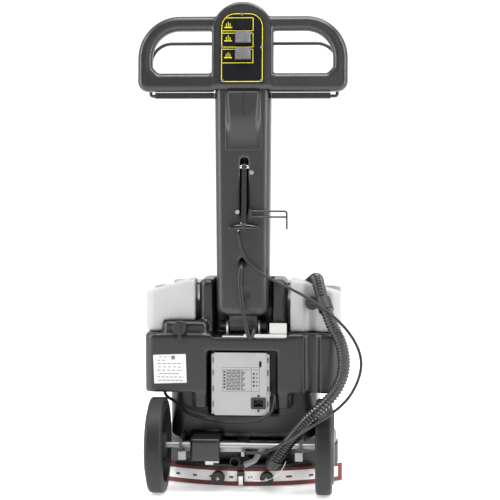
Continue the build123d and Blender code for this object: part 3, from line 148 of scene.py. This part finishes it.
# each row: name, colour, roughness, strength and fineness of its grain, wear, and what else it needs
MAT = {
    "body": material("body_plastic", (0.012, 0.012, 0.013), 0.3, 0.4, 700, 0.08),
    "handle": material("handle_plastic", (0.019, 0.019, 0.02), 0.28, 0.3, 900, 0.07),
    "column": material("column_plastic", (0.021, 0.021, 0.022), 0.31, 0.4, 900, 0.07),
    "tank": material("tank_plastic", (0.36, 0.362, 0.365), 0.38, 0.22, 800, 0.03),
    "black": material("black_plastic", (0.012, 0.012, 0.013), 0.4, 0.15, 900, 0.06),
    "panel": material("panel_foil", (0.006, 0.006, 0.007), 0.5, 0.1, 1500, 0.04, shine=0.1),
    "gloss": material("gloss_black", (0.008, 0.008, 0.009), 0.16, 0.0, 300, 0.02),
    "rubber": material("black_rubber", (0.014, 0.014, 0.015), 0.62, 0.3, 700, 0.08),
    "tyre": material("tyre_rubber", (0.009, 0.009, 0.01), 0.5, 0.3, 700, 0.08, shine=0.35),
    "hub": material("hub_plastic", (0.014, 0.0145, 0.016), 0.42, 0.25, 900, 0.06),
    "red": material("blade_rubber", (0.16, 0.03, 0.022), 0.5, 0.25, 600, 0.06),
    "steel": material("bright_steel", (0.62, 0.61, 0.6), 0.27, 0.12, 500, 0.02, metal=1.0, brushed=True),
    "strap": material("bright_strap", (0.95, 0.945, 0.94), 0.5, 0.1, 500, 0.02, metal=0.3, brushed=True),
    "galvanised": material("galvanised_steel", (0.34, 0.34, 0.34), 0.5, 0.15, 300, 0.05, metal=0.9),
    "case": material("charger_metal", (0.36, 0.36, 0.36), 0.42, 0.12, 700, 0.04, metal=0.45),
    "print": material("plate_print", (0.6, 0.6, 0.595), 0.5, 0.05, 1500, 0.02),
    "painted": material("painted_steel", (0.018, 0.018, 0.02), 0.35, 0.12, 500, 0.06, coat=0.2),
    "white": material("white_plastic", (0.72, 0.72, 0.7), 0.4, 0.12, 700, 0.03),
    "clear": material("clear_plastic", (0.13, 0.13, 0.135), 0.12, 1.0, 45, 0.3, coat=1.0, depth=0.004),
    "milky": material("milky_tube", (0.3, 0.31, 0.32), 0.3, 0.1, 300, 0.05, see_through=0.3),
    "cord": material("cord_jacket", (0.01, 0.01, 0.011), 0.42, 0.15, 900, 0.05),
    "hose": material("hose_jacket", (0.009, 0.009, 0.01), 0.26, 0.05, 900, 0.06, coat=0.3),
    "bristle": material("nylon_bristle", (0.05, 0.07, 0.16), 0.6, 0.6, 500, 0.2),
    "yellow": material("panel_yellow", (0.62, 0.55, 0.02), 0.45, 0.05, 900, 0.03),
    "ink": material("grey_print", (0.03, 0.03, 0.03), 0.6, 0.05, 900, 0.05),
    "pale_ink": material("pale_print", (0.12, 0.12, 0.12), 0.6, 0.05, 900, 0.05),
}

NODE_LOOK = {
    "axle": "galvanised", "axle_brackets": "galvanised", "bail": "painted", "bail_rails": "painted",
    "batteries": "black", "blade_strap": "strap", "blank_plates": "print", "body": "body",
    "brush_bristles": "bristle", "brush_deck": "body", "brush_motor": "painted", "brush_plate": "black",
    "brush_rocker": "gloss", "vacuum_rocker": "gloss", "cap_strap": "rubber", "centre_latch": "steel",
    "charger_case": "case", "chassis_frame": "painted", "column": "column", "column_cover": "column",
    "control_panel": "panel", "cord_hook": "painted", "drain_pipe": "rubber", "drain_spout": "milky",
    "feed_elbow": "white", "filler_cap": "black", "float_ball": "white", "foot_bracket": "steel",
    "handle": "handle", "hose_coupler": "black", "hub_left": "hub", "hub_right": "hub",
    "knob_left": "black", "knob_right": "black", "latch_base": "black", "lever_bolts": "steel",
    "lid_seal": "rubber", "lift_lever": "black", "mains_inlet": "black", "panel_screws": "steel",
    "pivot_bolt": "painted", "recovery_tank": "tank", "splash_skirt": "rubber", "squeegee_arm": "painted",
    "squeegee_blades": "red", "squeegee_carrier": "black", "switch_caps": "clear", "t_handle": "black",
    "tank_inlet": "black", "tank_lid": "tank", "tyre_left": "tyre", "tyre_right": "tyre",
    "vacuum_fan": "white", "vacuum_motor": "painted",
}
for node_name, look in NODE_LOOK.items():
    mesh = NODES[node_name].data
    mesh.materials.clear()
    mesh.materials.append(MAT[look])


# ---------------------------------------------------------------- building helpers
def link(name, mesh, look, body, *nodes):
    """Shows a mesh as a piece that rides on a body and stands for the named CAD nodes."""
    obj = bpy.data.objects.new(name, mesh)
    SCENE.collection.objects.link(obj)
    mesh.materials.clear()
    mesh.materials.append(MAT[look])
    mesh.shade_smooth()
    if body:
        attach(obj, body)
    if nodes:
        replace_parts(obj, *nodes)
    return obj


def route_points(points):
    """Points along one smooth curve through the given route."""
    data = bpy.data.curves.new("route", "CURVE")
    data.dimensions = "3D"
    data.resolution_u = 24
    line = data.splines.new("NURBS")
    line.points.add(len(points) - 1)
    for control, point in zip(line.points, points):
        control.co = (*[c / 1000 for c in point], 1)
    line.order_u = 3
    line.use_endpoint_u = True
    obj = bpy.data.objects.new("route", data)
    SCENE.collection.objects.link(obj)
    bpy.context.view_layer.update()
    mesh = bpy.data.meshes.new_from_object(obj.evaluated_get(bpy.context.evaluated_depsgraph_get()))
    path = [v.co.copy() for v in mesh.vertices]
    bpy.data.objects.remove(obj)
    bpy.data.meshes.remove(mesh)
    return path


def even_path(path, step):
    """The same line with points one step apart."""
    out, left = [path[0]], step
    for a, b in zip(path, path[1:]):
        run = (b - a).length
        while run >= left > 0:
            a = a + (b - a) * (left / run)
            out.append(a)
            run = (b - a).length
            left = step
        left -= run
    if (path[-1] - out[-1]).length > step * 0.3:
        out.append(path[-1])
    else:
        out[-1] = path[-1]
    return out


def tube_mesh(name, path, radius_at, sides=16):
    """A closed tube along a path; radius_at gives the radius at each point by its number."""
    bm = bmesh.new()
    rings = []
    ahead = (path[1] - path[0]).normalized()
    up = ahead.orthogonal().normalized()
    for i, point in enumerate(path):
        before = path[max(0, i - 1)]
        after = path[min(len(path) - 1, i + 1)]
        ahead = (after - before).normalized()
        up = (up - ahead * up.dot(ahead)).normalized()
        across = ahead.cross(up)
        radius = radius_at(i)
        ring = []
        for k in range(sides):
            turn = 2 * math.pi * k / sides
            ring.append(bm.verts.new(point + (up * math.cos(turn) + across * math.sin(turn)) * radius))
        rings.append(ring)
    for low, high in zip(rings, rings[1:]):
        for k in range(sides):
            bm.faces.new((low[k], low[(k + 1) % sides], high[(k + 1) % sides], high[k]))
    bm.faces.new(list(reversed(rings[0])))
    bm.faces.new(rings[-1])
    bmesh.ops.recalc_face_normals(bm, faces=bm.faces)
    mesh = bpy.data.meshes.new(name)
    bm.to_mesh(mesh)
    bm.free()
    return mesh


# ---------------------------------------------------------------- cords
# routes are in millimetres, point by point, as in the CAD
CUFF = Vector((178, -188, 384))
CUFF_ALONG = Vector((-10, 18, 28)).normalized()
CUFF_END = CUFF + CUFF_ALONG * 27
MOUTH_BEND = Vector((66, -213, 64))
HOSE_RISE = Vector((103, -238, 118))
SUCTION_ROUTE = [
    MOUTH_BEND + (HOSE_RISE - MOUTH_BEND).normalized() * 15, HOSE_RISE,
    (147, -286, 178), (196, -289, 223), (218, -262, 271), (211, -230, 321),
    CUFF - CUFF_ALONG * 32, CUFF,
]
TANK_HOSE_ROUTE = [
    CUFF_END, CUFF_END + CUFF_ALONG * 30,
    (157, -118, 449), (140, -66, 430), (118, -46, 409), (118, -20, 409),
]
LIFT_CABLE_ROUTE = [
    (-9, -169, 545), (-6, -170, 516), (12, -172, 480), (58, -180, 449), (122, -196, 422),
    (180, -218, 388), (228, -237, 344), (252, -248, 296), (247, -262, 252), (219, -286, 206),
    (158, -308, 166), (98, -268, 122), (54, -216, 89), (40, -212, 87), (8, -212, 87),
]
HARNESS_ROUTE = [
    (0, -134, 483), (0, -174, 480), (-5, -178, 448), (0, -180, 398), (9, -182, 348), (18, -187, 318),
    (26, -177, 341), (26, -153, 345), (26, -153, 327.4),
]
CHARGER_LEAD_ROUTE = [
    (60, -161, 203), (69, -161, 203), (70, -177, 190), (66, -179, 168), (44, -179, 152), (-12, -171, 141),
    (-86, -163, 150), (-126, -151, 163), (-143, -146, 183), (-168, -141, 194), (-168, -141, 206.98),
]
TETHER_ROUTE = [
    (5, -194, 52), (13, -214, 38), (40, -218, 27), (68, -220, 35), (89, -220, 54), (96, -222, 74),
]


HOSE_D = 0.026
RIB_PITCH = 0.007
RIB_DEPTH = 0.003
RIB_STEP = 0.001
HOSE_SIDES = 28


def ribbed(i):
    """Radius along a corrugated hose, at its point i."""
    turn = 2 * math.pi * i * RIB_STEP / RIB_PITCH
    return HOSE_D / 2 - RIB_DEPTH * (0.5 - 0.5 * math.cos(turn))


def lay_cord(node, route, diameter, look, step=0.004, radius=None, sides=16, body=None):
    """A cord along its route: a tube through the points that it follows, in place of its CAD node."""
    path = even_path(route_points(route), step)
    mesh = tube_mesh(f"{node}_line", path, radius or (lambda i: diameter / 2), sides)
    piece = link(f"{node}_line", mesh, look, body, node)
    return piece


suction_hose = lay_cord("suction_hose", SUCTION_ROUTE, HOSE_D, "hose",
                        RIB_STEP, ribbed, HOSE_SIDES)
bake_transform(suction_hose)
lay_cord("tank_hose", TANK_HOSE_ROUTE, HOSE_D, "hose",
         RIB_STEP, ribbed, HOSE_SIDES, "tank")
lift_cable = lay_cord("lift_cable", LIFT_CABLE_ROUTE, 0.006, "cord")
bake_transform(lift_cable)
harness = lay_cord("harness", HARNESS_ROUTE, 0.009, "cord", 0.003)
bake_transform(harness)
lay_cord("charger_lead", CHARGER_LEAD_ROUTE, 0.007, "cord", body="chassis")
lay_cord("tether_wire", TETHER_ROUTE, 0.0014, "steel", 0.003, sides=8, body="chassis")


# ---------------------------------------------------------------- moulded parts with soft edges
def softened(node, voxel, passes, look, body):
    """The CAD solid with its edges rounded the way a rotational moulding comes out."""
    mesh = NODES[node].data.copy()
    obj = bpy.data.objects.new(f"{node}_raw", mesh)
    SCENE.collection.objects.link(obj)
    remesh = obj.modifiers.new("remesh", "REMESH")
    remesh.mode = "VOXEL"
    remesh.voxel_size = voxel
    remesh.use_smooth_shade = True
    smooth = obj.modifiers.new("smooth", "SMOOTH")
    smooth.factor = 0.5
    smooth.iterations = passes
    bpy.context.view_layer.update()
    done = bpy.data.meshes.new_from_object(obj.evaluated_get(bpy.context.evaluated_depsgraph_get()))
    bpy.data.objects.remove(obj)
    return link(f"{node}_moulded", done, look, body, node)


softened("body", 0.003, 6, "body", "chassis")
softened("recovery_tank", 0.003, 6, "tank", "tank")
softened("tank_lid", 0.003, 4, "tank", "lid")
softened("column", 0.0025, 14, "column", "column")
softened("handle", 0.0025, 5, "handle", "column")


# ---------------------------------------------------------------- small visible details
MM = 0.001
LEAN = math.radians(5)        # the handle leans forward
ALONG = Vector((0, math.sin(LEAN), math.cos(LEAN)))
OUT = Vector((0, -math.cos(LEAN), math.sin(LEAN)))
TO_REAR = Vector((0, -1, 0))
HANDLE_MIDDLE = Vector((0, -0.145, 0.92))
FOIL_FOOT = -0.067            # the foil's lower edge, along the handle from its middle
FOIL_FACE = 0.01962           # out from the handle's middle
FOIL_LIFT = 0.0003            # the drawn foil over the CAD foil's face
FOIL_T = 0.0002
PANEL_FACE = HANDLE_MIDDLE + ALONG * FOIL_FOOT + OUT * FOIL_FACE


def on_panel(x, up, lift=0.0):
    """Point over the foil's face, in millimetres: x from its middle, up from its lower edge."""
    return PANEL_FACE + Vector((x * MM, 0, 0)) + ALONG * up * MM + OUT * lift


def slab(name, spots, look, body, thick):
    """Thin printed or stamped shapes: each spot is a flat outline, with the way it faces."""
    bm = bmesh.new()
    for corners, facing in spots:
        low = [bm.verts.new(c) for c in corners]
        high = [bm.verts.new(c + facing * thick) for c in corners]
        bm.faces.new(high)
        bm.faces.new(list(reversed(low)))
        count = len(corners)
        for k in range(count):
            bm.faces.new((low[k], low[(k + 1) % count], high[(k + 1) % count], high[k]))
    bmesh.ops.recalc_face_normals(bm, faces=bm.faces)
    mesh = bpy.data.meshes.new(name)
    bm.to_mesh(mesh)
    bm.free()
    obj = link(name, mesh, look, body)
    for face in mesh.polygons:
        face.use_smooth = False
    return obj


def stroke(points, width, across):
    """Four-cornered pieces that follow a line on the panel."""
    pieces = []
    for p, q in zip(points, points[1:]):
        run = (q - p).normalized()
        side = run.cross(across).normalized() * width / 2
        run = run * width / 2
        pieces.append(([p - run - side, q + run - side, q + run + side, p - run + side], across))
    return pieces


def rounded_top(half, low, high, radius, count=8):
    """Outline of a field with two round upper corners, from the lower right, in millimetres."""
    points = [(half, low)]
    for sign, start in ((1, 0), (-1, math.pi / 2)):
        for k in range(count + 1):
            turn = start + math.pi / 2 * k / count
            x = sign * (half - radius) + radius * math.cos(turn)
            points.append((x, high - radius + radius * math.sin(turn)))
    return points + [(-half, low)]


# places on the foil, in millimetres from its middle and its lower edge
FOIL_HALF, FOIL_LOW, FOIL_HIGH, FOIL_CORNER = 45, 2, 149, 30
RING_IN = 2.5                 # the outline's distance from the foil's edge
RING_LOW = 5
SWITCH_X = 2
SWITCH_HALF = 12.5
SWITCH_GAPS = ((105, 91), (70.5, 56.5))
FIELDS = ((138, 111, -35), (106, 77, -42), (72.5, 44, -42))
FIELD_RIGHT, FIELD_LEFT = 23, -42
MARKS_AT = (118, 90, 55)
MARK_ENDS = (-36, -22)
MARK_STEMS = ((-33, 5), (-29, 8), (-25, 5))
RING_W, FIELD_W, MARK_W, STEM_W = 1.5, 1.3, 2.2, 1.3
WINDOW = ((-15, 114), (18, 114), (18, 135), (-15, 135))
WINDOW_LIFT = 0.00125
WINDOW_T = 0.0003


def panel_foil():
    """The black foil in two halves, so that both rockers stand in a gap."""
    edge = rounded_top(FOIL_HALF, FOIL_LOW, FOIL_HIGH, FOIL_CORNER)
    split = len(edge) // 2
    faces = []
    for sign, side in ((1, edge[:split]), (-1, edge[split:][::-1])):
        notch = SWITCH_X + SWITCH_HALF * sign
        middle = [(SWITCH_X, FOIL_HIGH)]
        for top, bottom in SWITCH_GAPS:
            middle += [(SWITCH_X, top), (notch, top), (notch, bottom), (SWITCH_X, bottom)]
        middle.append((SWITCH_X, FOIL_LOW))
        faces.append(([on_panel(x, up, FOIL_LIFT) for x, up in side + middle], OUT))
    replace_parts(slab("panel_face", faces, "panel", "column", FOIL_T), "control_panel")


def panel_print():
    """Outline of the foil, its three fields, one plain mark beside each, and the readout's window."""
    lift = FOIL_LIFT + FOIL_T
    ring = rounded_top(FOIL_HALF - RING_IN, RING_LOW, FOIL_HIGH - RING_IN, FOIL_CORNER - RING_IN)
    spots = stroke([on_panel(x, up, lift) for x, up in ring + ring[:1]], RING_W * MM, OUT)
    for top, bottom, left in FIELDS:
        field = [(left, top), (FIELD_RIGHT, top), (FIELD_RIGHT, bottom), (FIELD_LEFT, bottom)]
        spots += stroke([on_panel(x, up, lift) for x, up in field], FIELD_W * MM, OUT)
    slab("panel_lines", spots, "yellow", "column", FOIL_T)
    marks = []
    for at in MARKS_AT:
        marks += stroke([on_panel(x, at, lift) for x in MARK_ENDS], MARK_W * MM, OUT)
        for x, rise in MARK_STEMS:
            foot = on_panel(x, at + 2.5, lift)
            marks += stroke([foot, foot + ALONG * rise * MM], STEM_W * MM, OUT)
    slab("panel_marks", marks, "yellow", "column", FOIL_T)
    window = [on_panel(x, up, WINDOW_LIFT) for x, up in WINDOW]
    slab("readout_window", [(window, OUT)], "gloss", "column", WINDOW_T)


def bar(x0, x1, y, z0, z1):
    """An upright rectangle that faces the rear."""
    return [Vector((x0, y, z0)), Vector((x1, y, z0)), Vector((x1, y, z1)), Vector((x0, y, z1))], TO_REAR


# the charger's plate: its rear face, its sides, its foot and its top
CHARGER_PLATE_Y = -0.1736
PLATE_LEFT, PLATE_RIGHT, PLATE_FOOT, PLATE_TOP = -0.0415, 0.0375, 0.2095, 0.2615
PLATE_T = 0.0001
RULE_W = 0.0008
DIVIDER_AT = 0.018            # the upright line, from the plate's right side
DIVIDER_W = 0.0007
HEAD_AT = 0.0058              # the heading's line, from the plate's top
HEAD_W = 0.0006
DASH_ROWS, DASHES = 14, 5
DASH_TOP, DASH_LEFT, DASH_RIGHT = 0.0085, 0.009, 0.0195
DASH_PITCH, DASH_H, DASH_GAP = 0.0031, 0.0017, 0.0013
DASH_SHORTEST, DASH_STEP = 0.0035, 0.0019
BODY_PLATE_LEFT = -0.185
BODY_PLATE_TOP = 0.2815
BODY_ROWS = ((10, 33), (6, 26), (6, 60), (8, 62), (6, 60), (10, 52), (6, 62), (8, 60))
BODY_ROW_PITCH, BODY_ROW_H = 0.0071, 0.0016
BODY_PRINT_T = 0.00012


def charger_plate():
    """Metal plate on the charger with a border, two columns and rows of plain dashes: no words."""
    left, right, foot, top = PLATE_LEFT, PLATE_RIGHT, PLATE_FOOT, PLATE_TOP
    slab("charger_plate_face", [bar(left, right, CHARGER_PLATE_Y, foot, top)], "case", "chassis", PLATE_T)
    y = CHARGER_PLATE_Y - PLATE_T
    spots = [
        bar(left, right, y, top - RULE_W, top),
        bar(left, right, y, foot, foot + RULE_W),
        bar(left, left + RULE_W, y, foot, top),
        bar(right - RULE_W, right, y, foot, top),
        bar(right - DIVIDER_AT, right - DIVIDER_AT + DIVIDER_W, y, foot, top),
        bar(left, right, y, top - HEAD_AT, top - HEAD_AT + HEAD_W),
    ]
    for row in range(DASH_ROWS):
        z = top - DASH_TOP - DASH_PITCH * row
        at = left + DASH_LEFT
        for piece in range(DASHES):
            long = DASH_SHORTEST + DASH_STEP * ((row * 3 + piece * 5) % 4)
            if at + long < right - DASH_RIGHT:
                spots.append(bar(at, at + long, y, z, z + DASH_H))
            at += long + DASH_GAP
    for row in range(6):
        z = top - 0.012 - 0.0066 * row
        spots.append(bar(left + 0.0025, left + 0.0068, y, z, z + 0.0042))
    for row in range(4):
        z = top - 0.016 - 0.0085 * row
        spots.append(bar(right - 0.0145, right - 0.0105, y, z, z + 0.0045))
        spots.append(bar(right - 0.0075, right - 0.004, y, z + 0.001, z + 0.0035))
    slab("charger_plate_rules", spots, "ink", "chassis", PLATE_T)


def body_plate():
    """A dark square and rows of plain dashes on the body's white plate: no words."""
    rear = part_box("blank_plates")[0][1]
    spots = [bar(-0.149, -0.141, rear, 0.277, 0.285)]
    for k, (start, stop) in enumerate(BODY_ROWS):
        z = BODY_PLATE_TOP - BODY_ROW_PITCH * k
        at = start
        while at < stop:
            end = min(stop, at + 6 + k % 3)
            first, last = BODY_PLATE_LEFT + at * MM, BODY_PLATE_LEFT + end * MM
            spots.append(bar(first, last, rear, z, z + BODY_ROW_H))
            at += 9 + (k + at) % 3
    slab("body_plate_rules", spots, "pale_ink", "chassis", BODY_PRINT_T)


panel_foil()
panel_print()
charger_plate()
body_plate()


GRIP_R = 0.0062
NECK_R = 0.0068
GRIP_DROOP = 0.0035


def arched_grip():
    """The lever's cross handle with its ends drooping."""
    lo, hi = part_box("t_handle")
    y = (lo[1] + hi[1]) / 2
    middle, half = (lo[0] + hi[0]) / 2, (hi[0] - lo[0]) / 2 - 0.001
    top = hi[2] - GRIP_R - 0.001
    steps = 12
    path = []
    for k in range(-steps, steps + 1):
        path.append(Vector((middle + half * k / steps, y, top - GRIP_DROOP * (k / steps) ** 2)))
    mesh = tube_mesh("t_grip", path, lambda i: GRIP_R * (1 - 0.45 * (abs(i - steps) / steps) ** 4), 16)
    link("t_grip", mesh, "gloss", "lever", "t_handle")
    stem = [Vector((middle, y, top - 0.006)), Vector((middle, y, hi[2]))]
    link("t_neck", tube_mesh("t_neck", stem, lambda i: NECK_R, 16), "black", "lever")


arched_grip()


def smooth_step(value):
    value = min(1.0, max(0.0, value))
    return value * value * (3 - 2 * value)


SUNK = 0.0004                 # how far the bulge's rim lies inside the column
BULGE_ACROSS = 48
BULGE_DOWN = 60
SIDE_AT_TOP = 0.2             # width of its sloping sides, as a share of its half width
SIDE_GROWS = 0.3
FADE_STARTS = 0.35            # where it starts to sink into the column, as a share of its height
FADE_LASTS = 0.6
SEAM_X = (0.0022, 0.0029)
SEAM_LONG = 0.05


def column_bulge():
    """The raised back of the column: steep sides under the handle, fading out lower down."""
    lo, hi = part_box("column_cover")
    middle, half = (lo[0] + hi[0]) / 2, (hi[0] - lo[0]) / 2
    bm = bmesh.new()
    grid = []
    for j in range(BULGE_DOWN + 1):
        down = j / BULGE_DOWN
        z = hi[2] - (hi[2] - lo[2]) * down
        side = SIDE_AT_TOP + SIDE_GROWS * down
        rise = 1 - smooth_step((down - FADE_STARTS) / FADE_LASTS)
        line = []
        for i in range(BULGE_ACROSS + 1):
            along = 2 * i / BULGE_ACROSS - 1
            edge = smooth_step((1 - abs(along)) / side)
            proud = (hi[1] + SUNK - lo[1]) * edge * rise
            line.append(bm.verts.new((middle + half * along, hi[1] + SUNK - proud, z)))
        grid.append(line)
    for upper, lower in zip(grid, grid[1:]):
        for i in range(BULGE_ACROSS):
            bm.faces.new((upper[i], upper[i + 1], lower[i + 1], lower[i]))
    rim = grid[0] + [line[-1] for line in grid[1:]] + grid[-1][-2::-1] + [line[0] for line in grid[-2:0:-1]]
    back = [bm.verts.new((v.co.x, hi[1] + 4 * SUNK, v.co.z)) for v in rim]
    for k in range(len(rim)):
        after = (k + 1) % len(rim)
        bm.faces.new((rim[k], rim[after], back[after], back[k]))
    bm.faces.new(back)
    bmesh.ops.recalc_face_normals(bm, faces=bm.faces)
    mesh = bpy.data.meshes.new("column_bulge")
    bm.to_mesh(mesh)
    bm.free()
    link("column_bulge", mesh, "column", "column", "column_cover")
    seam = bar(SEAM_X[0], SEAM_X[1], lo[1] - 0.0001, hi[2] - SEAM_LONG, hi[2])
    slab("cover_seam", [seam], "gloss", "column", 0.0001)


column_bulge()


STUD_R = 0.0038
STUD_OUT = 0.0004


def knob_studs():
    """Bright stud end in the middle of each squeegee knob."""
    for node, body in (("knob_left", "knob_l"), ("knob_right", "knob_r")):
        lo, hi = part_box(node)
        x, z = (lo[0] + hi[0]) / 2, (lo[2] + hi[2]) / 2
        stud = [Vector((x, lo[1] + 0.002, z)), Vector((x, lo[1] - STUD_OUT, z))]
        link(f"{node}_stud", tube_mesh(f"{node}_stud", stud, lambda i: STUD_R, 16), "steel", body)


knob_studs()


INNER_CABLE = ((-0.001, -0.1705, 0.566), (-0.006, -0.170, 0.556), (-0.009, -0.169, 0.544))
INNER_CABLE_R = 0.0011


def inner_cable():
    """Bright inner cable from the lever to its sheath."""
    path = [Vector(point) for point in INNER_CABLE]
    link("inner_cable", tube_mesh("inner_cable", path, lambda i: INNER_CABLE_R, 8), "steel", "column")


inner_cable()


# ---------------------------------------------------------------- floor and light
FLOOR_HALF = 14
FLOOR_GLOW = 0.42
ROOM_DARK = 0.12              # the room's light behind the camera
ROOM_BRIGHT = 1.2             # and behind the machine
FADE_FROM = -0.75
FADE_TO = 0.35


def make_floor():
    """White studio floor that glows a little, so that it runs into the background."""
    mesh = bpy.data.meshes.new("floor")
    bm = bmesh.new()
    bmesh.ops.create_grid(bm, x_segments=1, y_segments=1, size=FLOOR_HALF)
    bm.to_mesh(mesh)
    bm.free()
    floor = bpy.data.objects.new("floor", mesh)
    SCENE.collection.objects.link(floor)
    white = material("white_floor", (0.97, 0.97, 0.97), 0.55, 0.05, 60, 0.002)
    shader = white.node_tree.nodes["Principled BSDF"]
    socket(shader, "Emission Color", (1, 1, 1, 1))
    socket(shader, "Emission Strength", FLOOR_GLOW)
    mesh.materials.append(white)


def make_world():
    """White room, dim behind the camera and bright behind the machine."""
    world = bpy.data.worlds.new("world")
    SCENE.world = world
    world.use_nodes = True
    nodes, links = world.node_tree.nodes, world.node_tree.links
    place = nodes.new("ShaderNodeTexCoord")
    split = nodes.new("ShaderNodeSeparateXYZ")
    links.new(place.outputs["Generated"], split.inputs["Vector"])
    fade = nodes.new("ShaderNodeMapRange")
    fade.interpolation_type = "SMOOTHSTEP"
    fade.inputs["From Min"].default_value = FADE_FROM
    fade.inputs["From Max"].default_value = FADE_TO
    fade.inputs["To Min"].default_value = ROOM_DARK
    fade.inputs["To Max"].default_value = ROOM_BRIGHT
    links.new(split.outputs["Y"], fade.inputs["Value"])
    links.new(fade.outputs["Result"], nodes["Background"].inputs["Strength"])
    nodes["Background"].inputs["Color"].default_value = (1, 1, 1, 1)


def area_light(name, place, aim, size, power):
    data = bpy.data.lights.new(name, "AREA")
    data.shape = "RECTANGLE"
    data.size, data.size_y = size
    data.energy = power
    light = bpy.data.objects.new(name, data)
    SCENE.collection.objects.link(light)
    light.location = place
    light.rotation_euler = (Vector(aim) - Vector(place)).to_track_quat("-Z", "Y").to_euler()


make_floor()
make_world()
area_light("overhead", (0.2, -0.6, 2.6), (0, 0, 0.3), (1.8, 1.0), 58)
area_light("left", (-1.9, -0.9, 1.3), (0, -0.1, 0.55), (0.5, 2.2), 42)
area_light("right", (2.0, -0.9, 1.3), (0, -0.1, 0.55), (0.5, 2.2), 42)
area_light("front_fill", (0.5, -3.4, 1.7), (0, 0, 0.45), (0.6, 0.6), 5)
SCENE.view_settings.view_transform = "Standard"
